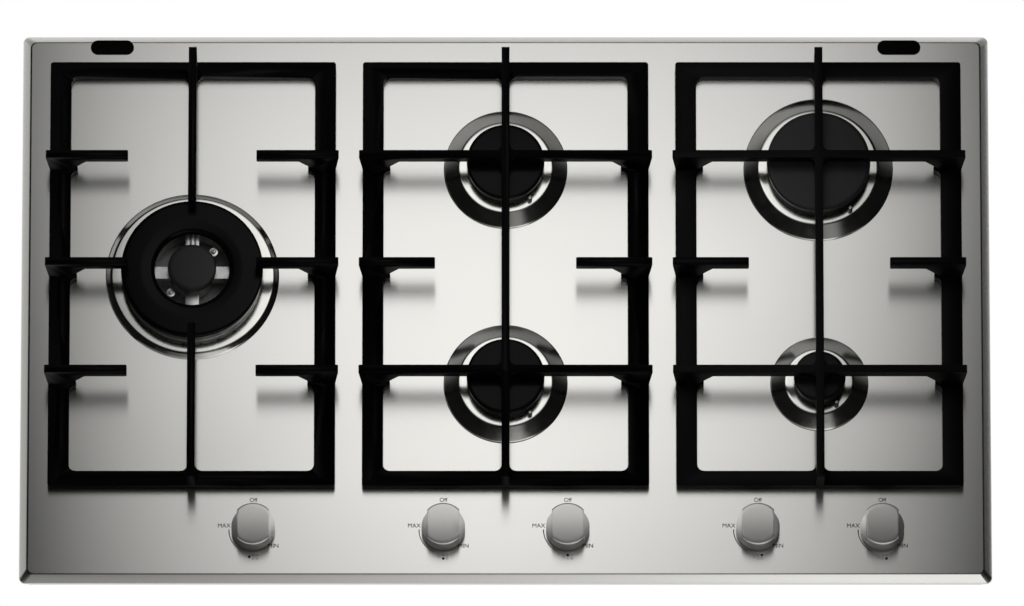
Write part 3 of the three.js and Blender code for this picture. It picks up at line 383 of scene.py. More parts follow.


# %% [markdown]
# ** Enamel and cast iron.** The caps are pressed steel under vitreous enamel, which is glass that
# was fused on: smooth and dark. All caps carry the same black enamel, in three copies: a glossy
# black, a semi-matt black with a faint painted sheen, and a satin one whose dark grey is a painted
# sheen, lighter to stand in for the reflections those caps show. The pan supports are cast iron
# under a matt enamel that hardly shines, and the grain of the sand mould still shows through it.

# %% Enamels
def cap_enamel(name, dark, light, rough, specular):
    material, tree, shader, place = new_material(name)
    peel = mottle(tree, place, 1.2, detail=2)
    clouds = mottle(tree, place, 14, detail=2)
    give_finish(tree, shader, (dark, light), clouds, (rough - 0.02, rough + 0.02), clouds,
                peel, 0.006)
    set_values(shader, Metallic=0.0, IOR=1.5, Specular_IOR_Level=specular)
    return material


def cast_iron_enamel():
    material, tree, shader, place = new_material("matt enamelled cast iron")
    grain = mottle(tree, place, 0.9)
    clouds = mottle(tree, place, 20, detail=2)
    give_finish(tree, shader, ("#010101", "#040404"), clouds, (0.38, 0.5), grain, grain, 0.03)
    set_values(shader, Metallic=0.0, IOR=1.5, Specular_IOR_Level=0.08)
    return material


# %% [markdown]
# **The other metals.** Burner heads and cups are die-cast aluminium, pipes are drawn tube, taps
# are machined brass, the tray is galvanised sheet with its zinc spangle, and the knobs are cast
# metal with a fine satin finish.

# %% Other metals
CLOUD_SIZE = 14  # the patches of a casting's colour, in grains
KNOB_LEAN = 0.055  # slope of a knob's top at its axis, up towards the rear
KNOB_CURVE = 2.6  # per metre; the slope falls off towards the rear by twice this
SPANGLE = 9  # mm, a flake of zinc


def plain_metal(name, dark, light, rough, grain_size, depth, stretch=(1, 1, 1), metallic=1.0):
    material, tree, shader, place = new_material(name)
    grain = mottle(tree, place, grain_size, stretch)
    clouds = mottle(tree, place, grain_size * CLOUD_SIZE, stretch, 2)
    give_finish(tree, shader, (dark, light), clouds, (rough - 0.05, rough + 0.05), grain,
                grain, depth)
    set_values(shader, Metallic=metallic)
    return material


def satin_nickel():
    """The knobs' finish. The low crown of their tops is pressed in, as a height in metres."""
    material, tree, shader, place = new_material("satin nickel plated zinc")
    grain = mottle(tree, place, 0.35)
    along = add_node(tree, "ShaderNodeSeparateXYZ", {"Vector": place}).outputs["Y"]
    from_axis = add_node(tree, "ShaderNodeMath", {0: along, 1: -KNOB_ROW * MM},
                         operation="ADD").outputs[0]
    bend = add_node(tree, "ShaderNodeMath", {0: from_axis, 1: -KNOB_CURVE, 2: KNOB_LEAN},
                    operation="MULTIPLY_ADD").outputs[0]
    height = add_node(tree, "ShaderNodeMath", {0: from_axis, 1: bend},
                      operation="MULTIPLY").outputs[0]
    give_finish(tree, shader, ("#c2c1bd", "#cac9c5"), grain, (0.27, 0.33), grain, height, 1 / MM)
    set_values(shader, Metallic=0.8)
    return material


def galvanised_sheet():
    material, tree, shader, place = new_material("galvanised steel sheet")
    mapped = add_node(tree, "ShaderNodeMapping",
                      {"Vector": place, "Scale": [1 / (SPANGLE * MM)] * 3})
    spangle = add_node(tree, "ShaderNodeTexVoronoi",
                       {"Vector": mapped.outputs["Vector"], "Scale": 1.0})
    flake = add_node(tree, "ShaderNodeSeparateColor", {"Color": spangle.outputs["Color"]})
    ends = {0: flake.outputs["Red"], 6: linear("#8f9394"), 7: linear("#b3b6b6")}
    colour = add_node(tree, "ShaderNodeMix", ends, data_type="RGBA")
    tree.links.new(colour.outputs[2], shader.inputs["Base Color"])
    rough = add_node(tree, "ShaderNodeMapRange",
                     {"Value": flake.outputs["Green"], "To Min": 0.34, "To Max": 0.52})
    tree.links.new(rough.outputs["Result"], shader.inputs["Roughness"])
    set_values(shader, Metallic=1.0)
    return material


# %% [markdown]
# **Rubber, foam, plastic, ceramic and print.** These scatter light in their body and shine little.
# Rubber is nearly black and dead matt, foam has open-looking cells, polyamide has a faint sheen,
# and glazed ceramic is the one glossy piece. A second ceramic is made dark grey.

# %% Rubber, foam, plastic, ceramic and print
def dull(name, dark, light, rough, grain_size, depth, specular=0.5):
    material, tree, shader, place = new_material(name)
    grain = mottle(tree, place, grain_size)
    give_finish(tree, shader, (dark, light), grain, (rough - 0.05, rough + 0.05), grain,
                grain, depth)
    set_values(shader, Metallic=0.0, IOR=1.5, Specular_IOR_Level=specular)
    return material


# %% The finishes of this cooktop
STEEL = brushed_stainless()
MIRROR = polished_stainless()
# One black enamel in three copies; the lighter colours of the last two are painted sheen.
BLACK_ENAMEL = cap_enamel("glossy black vitreous enamel", "#060807", "#0a0d0c", 0.2, 0.06)
FAINT_SHEEN_PAINTED_ENAMEL = cap_enamel("semi-matt black vitreous enamel, faint painted sheen", "#121212", "#161616", 0.3, 0.12)
GREY_SHEEN_PAINTED_ENAMEL = cap_enamel("satin black vitreous enamel, grey painted sheen", "#262626", "#2b2b2b", 0.35, 0.2)
IRON = cast_iron_enamel()
GALVANISED = galvanised_sheet()
SATIN = satin_nickel()
# As cast, bright and softly shining.
ALUMINIUM = plain_metal("die-cast aluminium", "#b4b5b4", "#cccdcb", 0.36, 0.5, 0.01)
# Drawn through a die, so its grain runs lengthwise and it shines more.
TUBE = plain_metal("drawn aluminium tube", "#b9bab9", "#cfd0ce", 0.28, 0.4, 0.004, (12, 1, 1))
# The small crowns are painted near black: painted shade for the shadow under their caps.
SHADE_PAINTED_ALUMINIUM = plain_metal("cast aluminium, painted shade", "#2c2c2a", "#3c3c3a", 0.45, 0.5, 0.01)
# Blasting breaks up the mirror: pale and even from all sides.
BLASTED = plain_metal("blasted die-cast aluminium", "#b4b4b2", "#c0c0be", 0.5, 0.5, 0.01,
                      metallic=0.1)
BRASS = plain_metal("machined brass", "#b8924c", "#caa865", 0.3, 0.5, 0.004)
COPPER = plain_metal("heat-tinted copper alloy", "#8f7a63", "#b0987a", 0.3, 0.5, 0.004)
RUBBER = dull("moulded rubber", "#020202", "#050505", 0.62, 0.8, 0.01, 0.06)
FOAM = dull("closed-cell foam", "#141414", "#242424", 0.9, 1.1, 0.15)
PLASTIC = dull("moulded polyamide", "#18191a", "#222324", 0.48, 0.5, 0.01)
CERAMIC = dull("glazed ceramic", "#e6e4dd", "#f2f1ec", 0.2, 2.0, 0.004)
DARK_GREY_CERAMIC = dull("dark grey ceramic", "#2e2c2a", "#3c3a37", 0.3, 2.0, 0.004, 0.3)
INK = dull("screen-printed ink", "#1c1c1b", "#242423", 0.6, 0.4, 0.001, 0.2)
print("materials:", len(bpy.data.materials))

# %% [markdown]
# ## The top plate
#
# One sheet of steel, pressed: a flat field, a soft crest, a slope down to the rim and a short
# upright edge. A plane is given round corners, its edge is extruded down and outwards, and the
# crest is bevelled. The holes are cut with cylinders that stand where the spindles and burners are.

# %% Plate outline and rim
RIM_SLOPE = 7  # how far the slope runs out
RIM_CORNER = 9
RIM_EDGE = 1.7  # height of the upright edge
CREST = 0.8
CREASE = 0.7
SHEET = 1.2
FIELD_BORDER = 0.6  # keeps the flat field's shading apart from the crest's
FIELD_AREA = 0.1  # square metres; only the flat field is larger


def top_plate():
    half_x, half_y = plate_high.x - RIM_SLOPE, plate_high.y - RIM_SLOPE
    deselect_all()
    bpy.ops.mesh.primitive_plane_add(size=2, location=(0, 0, 0))
    plate = bpy.context.object
    start_edit(plate, "ALL")
    bpy.ops.transform.resize(value=(half_x * MM, half_y * MM, 1), center_override=(0, 0, 0))
    bpy.ops.transform.translate(value=(0, 0, PLATE_Z * MM))
    bpy.ops.mesh.bevel(offset=(RIM_CORNER - RIM_SLOPE / 2) * MM, segments=8, affect="VERTICES")
    bpy.ops.mesh.select_all(action="SELECT")
    foot = plate_low.z - PLATE_Z
    bpy.ops.mesh.extrude_region_move(
        TRANSFORM_OT_translate={"value": (0, 0, (foot + RIM_EDGE) * MM)})
    bpy.ops.transform.resize(value=(plate_high.x / half_x, plate_high.y / half_y, 1),
                             center_override=(0, 0, 0))
    bpy.ops.mesh.extrude_region_move(TRANSFORM_OT_translate={"value": (0, 0, -RIM_EDGE * MM)})
    bpy.ops.mesh.delete(type="FACE")
    bpy.ops.object.mode_set(mode="OBJECT")
    return plate


def is_crest(plate, e):
    return all(abs(p.z - PLATE_Z) < 0.01 for p in edge_ends(plate, e))


def is_crease(plate, e):
    return all(abs(p.z - plate_low.z - RIM_EDGE) < 0.01 for p in edge_ends(plate, e))


plate = top_plate()
pick(plate, "FACE", lambda f: f.normal.z > 0.99)
bpy.ops.mesh.delete(type="FACE")
pick(plate, "EDGE", lambda e: is_crest(plate, e))
bpy.ops.mesh.edge_face_add()
pick(plate, "EDGE", lambda e: is_crest(plate, e))
bpy.ops.mesh.bevel(offset=CREST * MM, segments=5, affect="EDGES")
pick(plate, "EDGE", lambda e: is_crease(plate, e))
bpy.ops.mesh.bevel(offset=CREASE * MM, segments=3, affect="EDGES")
start_edit(plate, "ALL")
bpy.ops.mesh.normals_make_consistent(inside=False)
pick(plate, "FACE", lambda f: f.area > FIELD_AREA)
if not any(f.select and f.normal.z > 0 for f in plate.data.polygons):
    bpy.ops.mesh.select_all(action="SELECT")
    bpy.ops.mesh.flip_normals()
pick(plate, "FACE", lambda f: f.area > FIELD_AREA)
bpy.ops.mesh.inset(thickness=FIELD_BORDER * MM)
bpy.ops.object.mode_set(mode="OBJECT")
add_modifier(plate, "SOLIDIFY", thickness=SHEET * MM, offset=-1, use_even_offset=True)
print("plate faces:", len(plate.data.polygons))

# %% Holes of the plate
def cut_away(piece, cutters):
    """Joins the cutters into one and takes it away from the piece."""
    make_active(cutters[0])
    for cutter in cutters:
        cutter.select_set(True)
    if len(cutters) > 1:
        bpy.ops.object.join()
    cutter = bpy.context.object
    start_edit(cutter, "ALL")
    bpy.ops.mesh.normals_make_consistent(inside=False)
    bpy.ops.object.mode_set(mode="OBJECT")
    add_modifier(piece, "BOOLEAN", object=cutter, operation="DIFFERENCE", solver="EXACT")
    bpy.data.objects.remove(cutter)


def round_cutter(x, y, radius, low, high, sides=64):
    deselect_all()
    bpy.ops.mesh.primitive_cylinder_add(vertices=sides, radius=radius * MM, depth=(high - low) * MM,
                                        location=(x * MM, y * MM, (low + high) / 2 * MM))
    cutter = bpy.context.object
    bpy.ops.object.transform_apply(location=True, rotation=True, scale=True)
    return cutter


HALF_ROUND = 0.499  # of the width: just under half, so that two bevels don't meet


def oblong_cutter(x, y, length, width, low, high):
    """A cube whose four upright edges are bevelled until its ends are round."""
    deselect_all()
    bpy.ops.mesh.primitive_cube_add(size=1, location=(0, 0, 0))
    cutter = bpy.context.object
    start_edit(cutter, "ALL")
    bpy.ops.transform.resize(value=(length * MM, width * MM, (high - low) * MM),
                             center_override=(0, 0, 0))
    bpy.ops.transform.translate(value=(x * MM, y * MM, (low + high) / 2 * MM))
    pick(cutter, "EDGE", lambda e: abs((edge_ends(cutter, e)[0] - edge_ends(cutter, e)[1]).z) > 0.5)
    bpy.ops.mesh.bevel(offset=width * HALF_ROUND * MM, segments=10, affect="EDGES")
    bpy.ops.object.mode_set(mode="OBJECT")
    return cutter


PLUGS = ["slot_plug_left", "slot_plug_right"]
SLOT_LIP = 2
SPINDLE_HOLE = 5
RING_BAND, LARGE_RING_BAND = 26.5, 20  # from a ring's outer edge in to its bowl
HOLE_ROOM = 1
REACH = 5  # the cutters reach this far above and below the plate's surface
cutters = []
for burner in BURNERS:
    x, y = centre_of(f"burner_ring_{burner}")
    band = LARGE_RING_BAND if burner == "left" else RING_BAND
    bowl = radius_of(f"burner_ring_{burner}") - band
    cutters.append(round_cutter(x, y, bowl + HOLE_ROOM, PLATE_Z - REACH, PLATE_Z + REACH, 96))
    x, y = centre_of(f"spindle_{burner}")
    cutters.append(round_cutter(x, y, SPINDLE_HOLE, PLATE_Z - REACH, PLATE_Z + REACH, 32))
for plug in PLUGS:
    low, high = extents(plug)
    length, width = high.x - low.x - 2 * SLOT_LIP, high.y - low.y - 2 * SLOT_LIP
    cutters.append(oblong_cutter(*centre_of(plug), length, width, PLATE_Z - REACH, PLATE_Z + REACH))
cut_away(plate, cutters)


def lay_grain(piece):
    """A UV map whose U runs across the scratches, from front to rear."""
    layer = piece.data.uv_layers.new(name="grain")
    for loop in piece.data.loops:
        point = piece.data.vertices[loop.vertex_index].co
        layer.data[loop.index].uv = (point.y + point.z, point.x)


finish_piece(plate, "brushed_top_plate", "hob", STEEL, ["top_plate"], smooth=32)
lay_grain(plate)
print("plate faces after the cuts:", len(plate.data.polygons))

# %% [markdown]
# ## Slot plugs
#
# Two rubber plugs close the slots at the rear edge. Each is an oblong head with a soft edge, over
# a body that fills the slot.

# %% Slot plugs
PLUG_PLAY = 0.6  # the body is this much smaller than its slot
PLUG_SEAT = 0.3  # the head's underside, above the plate
PLUG_OVERLAP = 0.5  # the body reaches this far up into the head
for plug in PLUGS:
    low, high = extents(plug)
    x, y = centre_of(plug)
    length, width = high.x - low.x, high.y - low.y
    thinner = 2 * SLOT_LIP + PLUG_PLAY
    body_top = PLATE_Z + PLUG_SEAT + PLUG_OVERLAP
    body = oblong_cutter(x, y, length - thinner, width - thinner, low.z, body_top)
    head = oblong_cutter(x, y, length, width, PLATE_Z + PLUG_SEAT, high.z)
    add_modifier(head, "BOOLEAN", object=body, operation="UNION", solver="EXACT")
    bpy.data.objects.remove(body)
    soften(head, 0.45, 3, 40)
    name = plug.replace("slot_plug", "rubber_plug")
    finish_piece(head, name, "hob", RUBBER, [plug])

# %% [markdown]
# ## Burner rings
#
# A polished ring stands round each burner: a sloping flank, a soft shoulder and a flat shelf that
# runs in under the cap. It is turned from one profile, as it was spun from one disc.

# %% Burner rings
RING_SIDES = 128
UNDER_CAP = 4  # the shelf runs this far in under the cap


def burner_ring(burner, flank, shelf_to_cap):
    """A ring whose flank and open shelf have these widths."""
    node = f"burner_ring_{burner}"
    low, high = extents(node)
    outer = radius_of(node)
    shelf = outer - flank
    bore = shelf - shelf_to_cap - UNDER_CAP
    foot, top = low.z, high.z
    profile = rounded([(outer, foot), (outer - 0.8, foot + 0.9), (shelf, top), (bore, top)], 1.5, 5)
    profile += [(bore, top - SHEET), (shelf - 1, top - SHEET), (outer - 2.4, foot), (outer, foot)]
    ring = turned(profile, RING_SIDES, centre_of(node))
    finish_piece(ring, f"polished_ring_{burner}", "hob", MIRROR, [node],
                 smooth=40)


for burner in SIMPLE_BURNERS:
    burner_ring(burner, flank=13.5, shelf_to_cap=7)
burner_ring("left", flank=5, shelf_to_cap=9)
print("rings:", len(BURNERS))

# %% [markdown]
# ## Burner heads
#
# A head is a cast crown: a skirt that drops into the cup, a flange that seats on the ring, and a
# wall cut by flame ports. The large burner has a ring-shaped crown, with a hub for its small
# middle flame on four bridges.

# %% Burner heads
PORT_DEPTH, PORT_WIDTH = 5, 3
OVERSHOOT = 1  # a cutter reaches this far past what it cuts


def port_cutters(burner_axis, count, inner, outer, top):
    """Blocks that stand round an axis like spokes, from the inner to the outer radius."""
    size = ((outer - inner) * MM, PORT_WIDTH * MM, (PORT_DEPTH + 2 * OVERSHOOT) * MM)
    middle = ((inner + outer) / 2 * MM, 0, (top - PORT_DEPTH / 2 + OVERSHOOT) * MM)
    cutters = []
    for i in range(count):
        deselect_all()
        bpy.ops.mesh.primitive_cube_add(size=1, location=(0, 0, 0))
        cutter = bpy.context.object
        start_edit(cutter, "ALL")
        bpy.ops.transform.resize(value=size, center_override=(0, 0, 0))
        bpy.ops.transform.translate(value=middle)
        bpy.ops.object.mode_set(mode="OBJECT")
        cutter.rotation_euler.z = (i + 0.5) / count * 2 * math.pi
        cutter.location = (burner_axis[0] * MM, burner_axis[1] * MM, 0)
        bpy.ops.object.transform_apply(location=True, rotation=True, scale=True)
        cutters.append(cutter)
    return cutters


PORTS = {"rear_centre": 16, "front_centre": 16, "rear_right": 20, "front_right": 12}
FLANGE = 6.8  # the flange reaches this far out past the skirt
SKIRT_WALL = 3
CROWN_RISE = 9.2  # from the seat to the top
for burner, ports in PORTS.items():
    node = f"burner_head_{burner}"
    low, high = extents(node)
    axis = centre_of(node)
    crown = radius_of(node)
    skirt = crown - FLANGE
    bore = skirt - SKIRT_WALL
    seat = high.z - CROWN_RISE
    profile = [(bore, low.z), (skirt, low.z), (skirt, seat), (crown - 1, seat), (crown, seat + 1),
               (crown, high.z), (bore, high.z), (bore, low.z)]
    head = turned(profile, 96, axis)
    cut_away(head, port_cutters(axis, ports, bore - OVERSHOOT, crown + OVERSHOOT, high.z))
    soften(head, 0.3, 2, 40)
    # The near black of the small crowns is painted shade.
    finish_piece(head, f"crown_{burner}", f"head_{burner}", SHADE_PAINTED_ALUMINIUM, [node])
print("crowns:", len(PORTS))

# %% [markdown]
# The large head is cast in one: a ring with a trough, and a hub on two crossed bars. Each union and
# each cut is a step of its own with closed meshes. Cutters that are joined while they overlap can
# leave a cut open or filled, and not always the same way, so the spokes of one joined cutter never
# touch each other.

# %% Large burner's head
CAP_HOLE = 33
CAP_LIP = 2
HUB = 18.5
HUB_WALL = 5
BRIDGE = 12.5
BRIDGE_DROP = 5  # from the ring's top down to the bridges
LARGE_CROWN_TOP, LARGE_SEAT = 17.5, 4.3  # above the plate
TROUGH_WALL, TROUGH_FLOOR = 5, 2
GROOVE_PLACE, GROOVE_WIDTH, GROOVE_DEPTH = 2.2, 1.2, 1.5  # the place is from the bridge's middle


def block(low, high):
    """A cube stretched between two corners."""
    deselect_all()
    bpy.ops.mesh.primitive_cube_add(size=1, location=(0, 0, 0))
    piece = bpy.context.object
    start_edit(piece, "ALL")
    size = [(b - a) * MM for a, b in zip(low, high)]
    middle = [(a + b) / 2 * MM for a, b in zip(low, high)]
    bpy.ops.transform.resize(value=size, center_override=(0, 0, 0))
    bpy.ops.transform.translate(value=middle)
    bpy.ops.object.mode_set(mode="OBJECT")
    return piece


def fuse(piece, others):
    for other in others:
        add_modifier(piece, "BOOLEAN", object=other, operation="UNION", solver="EXACT")
        bpy.data.objects.remove(other)


def large_head():
    node = "burner_head_left"
    low, high = extents(node)
    x, y = centre_of(node)
    crown, inner = radius_of(node), CAP_HOLE + CAP_LIP
    skirt = crown - FLANGE
    top, seat = PLATE_Z + LARGE_CROWN_TOP, PLATE_Z + LARGE_SEAT
    outside = [(inner, low.z), (skirt, low.z), (skirt, seat), (crown - 1, seat), (crown, seat + 1),
               (crown, top)]
    floor, wall = seat + TROUGH_FLOOR, inner + TROUGH_WALL
    trough = [(crown - TROUGH_WALL, top), (crown - TROUGH_WALL, floor), (wall, floor), (wall, top)]
    ring = turned(outside + trough + [(inner, top), (inner, low.z)], 128, (x, y))
    hub = round_cutter(x, y, HUB, low.z, high.z, 96)
    half, reach, bridge_top = BRIDGE / 2, inner + 1, top - BRIDGE_DROP
    bridges = [block((x - reach, y - half, PLATE_Z), (x + reach, y + half, bridge_top)),
               block((x - half, y - reach, PLATE_Z), (x + half, y + reach, bridge_top))]
    grooves = []
    for middle in (x - GROOVE_PLACE, x + GROOVE_PLACE):
        grooves.append(block((middle - GROOVE_WIDTH / 2, y + HUB - 1, bridge_top - GROOVE_DEPTH),
                             (middle + GROOVE_WIDTH / 2, y + reach + 1, bridge_top + 1)))
    cut_away(bridges[1], grooves)
    soften(bridges[0], 0.8, 3)
    soften(bridges[1], 0.4, 2)
    fuse(ring, [hub, *bridges])
    cut_away(ring, [round_cutter(x, y, HUB - HUB_WALL, high.z - PORT_DEPTH, high.z + OVERSHOOT)])
    cut_away(ring, port_cutters((x, y), 24, crown - TROUGH_WALL - OVERSHOOT,
                                crown + OVERSHOOT, top))
    cut_away(ring, port_cutters((x, y), 8, HUB - HUB_WALL - OVERSHOOT, HUB + OVERSHOOT,
                                high.z))
    return ring


head = large_head()
finish_piece(head, "crown_left", "head_left", ALUMINIUM, ["burner_head_left"])
print("large crown faces:", len(head.data.polygons))

# %% [markdown]
# ## Caps
#
# The caps are pressed discs with a slightly domed top, a rounded shoulder and a short wall that
# overhangs the crown. They are turned, with many steps round the shoulder where the light catches.
# Their enamels differ a little in gloss, and their differences in blackness are painted sheen,
# lighter where a cap shows more reflection.

# %% Caps
SPIGOT = 4  # height of the collar below a cap that centres it in its crown
SPIGOT_GAP = 12.1  # from a small cap's edge in to that collar
SPIGOT_PLAY = 0.3


def cap_profile(radius, seat, top, spigot):
    outside = [(radius - 1, seat), (radius, seat + 1), (radius, top - 1.2),
               (radius - 2.4, top - 0.5), (radius * 0.5, top - 0.1), (0.4, top)]
    return [(spigot, seat - SPIGOT), (spigot, seat)] + rounded(outside, 1.4, 5) + [(0, top)]


def plain_cap(piece_name, node, body, spigot, enamel):
    low, high = extents(node)
    radius = radius_of(node)
    profile = cap_profile(radius, low.z + SPIGOT, high.z, spigot)
    cap = closed_at_start(turned(profile, 96, centre_of(node)), low.z)
    return finish_piece(cap, piece_name, body, enamel, [node], smooth=50)


# The caps given the lighter enamels carry a painted sheen.
ENAMELS = {"rear_centre": BLACK_ENAMEL, "front_centre": BLACK_ENAMEL, "rear_right": GREY_SHEEN_PAINTED_ENAMEL,
           "front_right": FAINT_SHEEN_PAINTED_ENAMEL}
for burner, enamel in ENAMELS.items():
    node = f"burner_cap_{burner}"
    spigot = radius_of(node) - SPIGOT_GAP
    plain_cap(f"enamelled_cap_{burner}", node, f"cap_{burner}", spigot, enamel)
# This cap's dark grey is painted sheen too.
plain_cap("enamelled_cap_left_centre", "burner_cap_left_centre", "cap_left_centre",
          HUB - HUB_WALL - SPIGOT_PLAY, GREY_SHEEN_PAINTED_ENAMEL)

# %% Large burner's ring cap
node = "burner_cap_left_outer"
low, high = extents(node)
seat, top, radius = low.z + 3, high.z, radius_of(node)
rib_inset = CAP_LIP + TROUGH_WALL + SPIGOT_PLAY  # the rib below stands in the head's trough
rib_in, rib_out = CAP_HOLE + rib_inset, radius - rib_inset
upper = rounded([(radius - 1, seat), (radius, seat + 1), (radius, top - 1.2),
                 (radius - 2.2, top - 0.4), (CAP_HOLE + 12, top), (CAP_HOLE + 3, top - 0.6),
                 (CAP_HOLE, top - 3.5), (CAP_HOLE, seat + 0.8), (CAP_HOLE + 0.8, seat)], 1.4, 5)
under = [(rib_in, seat), (rib_in, seat - 3), (rib_out, seat - 3), (rib_out, seat), upper[0]]
ring_cap = turned(upper + under, 128, centre_of(node))
finish_piece(ring_cap, "enamelled_cap_left_ring", "cap_left_outer", BLACK_ENAMEL,
             [node], smooth=50)
print("caps:", len(SIMPLE_BURNERS) + 2)

# %% [markdown]
# ## Electrodes and the flame sensor
#
# Each electrode is a ceramic sleeve with a thin metal tip, and the sleeves of the small burners are
# coloured dark grey. The large burner's electrode and its flame sensor have a wire wound round
# them, three turns of it, which are turned here as three rounded collars.

# %% Electrodes
COIL_PITCH, COIL_REACH = 2, 4.3
SHOULDER = 5  # from the tip's top down to the sleeve's end


def electrode(node, piece_name, sleeve, tip, turns=0):
    low, high = extents(node)
    axis = centre_of(node)
    r = radius_of(node)
    profile = [(r, low.z)]
    for i in range(turns):
        z = high.z - SHOULDER - COIL_PITCH * (turns - i)
        profile += [(r, z), (COIL_REACH - 0.5, z + 0.2), (COIL_REACH, z + COIL_PITCH / 2),
                    (COIL_REACH - 0.5, z + COIL_PITCH - 0.2)]
    if turns:
        profile.append((r, high.z - SHOULDER))
    profile += rounded([(r, high.z - 4.5), (r, high.z - 4), (r - 0.7, high.z - 3),
                        (0.55, high.z - 3)], 0.3, 3)
    profile += [(0.55, high.z - 0.4), (0.3, high.z), (0, high.z)]
    piece = closed_at_start(turned(profile, 24, axis), low.z)
    finish_piece(piece, piece_name, "hob", sleeve, [node])
    piece.data.materials.append(tip)
    for face in piece.data.polygons:
        middle = face.center / MM
        away_from_axis = math.hypot(middle.x - axis[0], middle.y - axis[1])
        on_tip = middle.z > high.z - 3.05 and away_from_axis < r - 0.75
        face.material_index = 1 if on_tip or away_from_axis > r + 0.1 else 0


for burner in BURNERS:
    large = burner == "left"
    electrode(f"electrode_{burner}", f"spark_electrode_{burner}",
              CERAMIC if large else DARK_GREY_CERAMIC, TUBE, turns=3 if large else 0)
electrode("flame_sensor_left", "flame_sensor_rod", COPPER, TUBE, turns=3)

# %% [markdown]
# ## Pan supports
#
# The castings' solids have the right shape down to their flared roots. So each node is copied, its
# loose triangles are merged, and flat faces are dissolved into one and filled anew, which gives
# smooth shading. A soft bevel follows, but it may only grow until it meets a neighbouring edge, and
# on these castings that stops it at almost nothing: the edges look sharp, and the enamel carries
# the look.

# %% Pan supports
for side in ("left", "centre", "right"):
    node = f"grate_{side}"
    make_active(frame["nodes"][node])
    bpy.ops.object.duplicate()
    casting = bpy.context.object
    casting.parent = None
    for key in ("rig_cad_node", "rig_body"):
        if key in casting:
            del casting[key]
    start_edit(casting, "ALL")
    bpy.ops.mesh.remove_doubles(threshold=0.01 * MM)
    bpy.ops.mesh.dissolve_limited(angle_limit=math.radians(1))
    bpy.ops.mesh.quads_convert_to_tris(quad_method="BEAUTY", ngon_method="CLIP")
    bpy.ops.object.mode_set(mode="OBJECT")
    soften(casting, 1.0, 3, 28)
    finish_piece(casting, f"pan_support_{side}", node, IRON, [node], smooth=50)
    print(node, "faces:", len(casting.data.polygons))

# %% [markdown]
# ## Knobs
#
# Each knob is a low drum with a broad grip left standing across it. The drum is turned, two blocks
# cut the flanks down, and the edges are rounded. The top is flat here: its low crown from front to
# rear is part of the finish.

# %% Knobs
KNOB_FLANK = 11  # height of the low flanks above the plate
KNOB_GRIP = 28
KNOB_BORE, KNOB_SOCKET = 3.3, 11.6  # radius and depth of the socket for the spindle
for burner in BURNERS:
    node = f"knob_{burner}"
    low, high = extents(node)
    x, y = centre_of(node)
    r = radius_of(node)
    profile = rounded([(r, low.z), (r, high.z - 0.9), (r - 0.9, high.z), (r - 4, high.z)], 0.8, 4)
    socket = [(KNOB_BORE, low.z + KNOB_SOCKET), (KNOB_BORE, low.z)]
    drum = turned(socket + profile, 96, (x, y))
    closed_at_start(drum, low.z + KNOB_SOCKET)
    closed_at_start(drum, high.z)
    foot, near, far, over = PLATE_Z + KNOB_FLANK, y - r - 2, y + r + 2, high.z + 2
    cut_away(drum, [block((x - r - 2, near, foot), (x - KNOB_GRIP / 2, far, over)),
                    block((x + KNOB_GRIP / 2, near, foot), (x + r + 2, far, over))])
    soften(drum, 0.7, 3, 50)
    finish_piece(drum, f"satin_knob_{burner}", f"knob_{burner}", SATIN, [node],
                 smooth=45)
print("knobs:", len(BURNERS))

# %% [markdown]
# ## Printed marks
#
# Round each knob the plate carries its scale: Off at the rear, MAX and MIN, an arc that thins from
# one to the other, and five small dots that say which burner the knob feeds. Text and discs are
# made thin meshes and laid on the plate. The letters get their thickness from a bevel, which also
# makes them bolder by as much.

# %% Printed marks
INK_HEIGHT = 0.06
INK_LOW = PLATE_Z + 0.02
INK_TOP = INK_LOW + INK_HEIGHT


def mark_text(words, x, y, height):
    deselect_all()
    bpy.ops.object.text_add(location=(0, 0, 0))
    text = bpy.context.object
    text.data.body = words
    text.data.size = height * MM
    text.data.align_x = "CENTER"
    text.data.align_y = "CENTER"
    text.data.bevel_depth = INK_HEIGHT / 2 * MM
    text.data.bevel_resolution = 0
    bpy.ops.object.convert(target="MESH")
    text = bpy.context.object
    text.location = (x * MM, y * MM, (INK_LOW + INK_TOP) / 2 * MM)
    bpy.ops.object.transform_apply(location=True, rotation=True, scale=True)
    return text


def disc(x, y, radius):
    return round_cutter(x, y, radius, INK_LOW, INK_TOP, 20)


def hoop(x, y, radius, line):
    inner = radius - line
    return turned([(inner, INK_LOW), (radius, INK_LOW), (radius, INK_TOP), (inner, INK_TOP),
                   (inner, INK_LOW)], 20, (x, y))


def thinning_arc(x, y, radius, start, end, widest, thinnest, steps=28):
    """A small upright rectangle is spun along the arc, and the strip is thinned towards its end."""
    deselect_all()
    bpy.ops.mesh.primitive_plane_add(size=1, location=(0, 0, 0))
    strip = bpy.context.object
    strip.scale = (widest * MM, INK_HEIGHT * MM, 1)
    strip.rotation_euler.x = math.pi / 2
    strip.location = (radius * MM, 0, (INK_LOW + INK_TOP) / 2 * MM)
    bpy.ops.object.transform_apply(location=True, rotation=True, scale=True)
    sweep = math.radians(end - start)
    start_edit(strip, "ALL")
    bpy.ops.mesh.spin(steps=steps, angle=-sweep, center=(0, 0, 0), axis=(0, 0, 1))
    bpy.ops.object.mode_set(mode="OBJECT")
    for vertex in strip.data.vertices:
        angle = math.atan2(vertex.co.y, vertex.co.x)
        share = 1 + (thinnest / widest - 1) * angle / sweep
        off_line = math.hypot(vertex.co.x, vertex.co.y) - radius * MM
        reach = radius * MM + off_line * share
        vertex.co.x, vertex.co.y = reach * math.cos(angle), reach * math.sin(angle)
    strip.rotation_euler.z = math.radians(start)
    strip.location = (x * MM, y * MM, 0)
    bpy.ops.object.transform_apply(location=True, rotation=True, scale=True)
    return strip


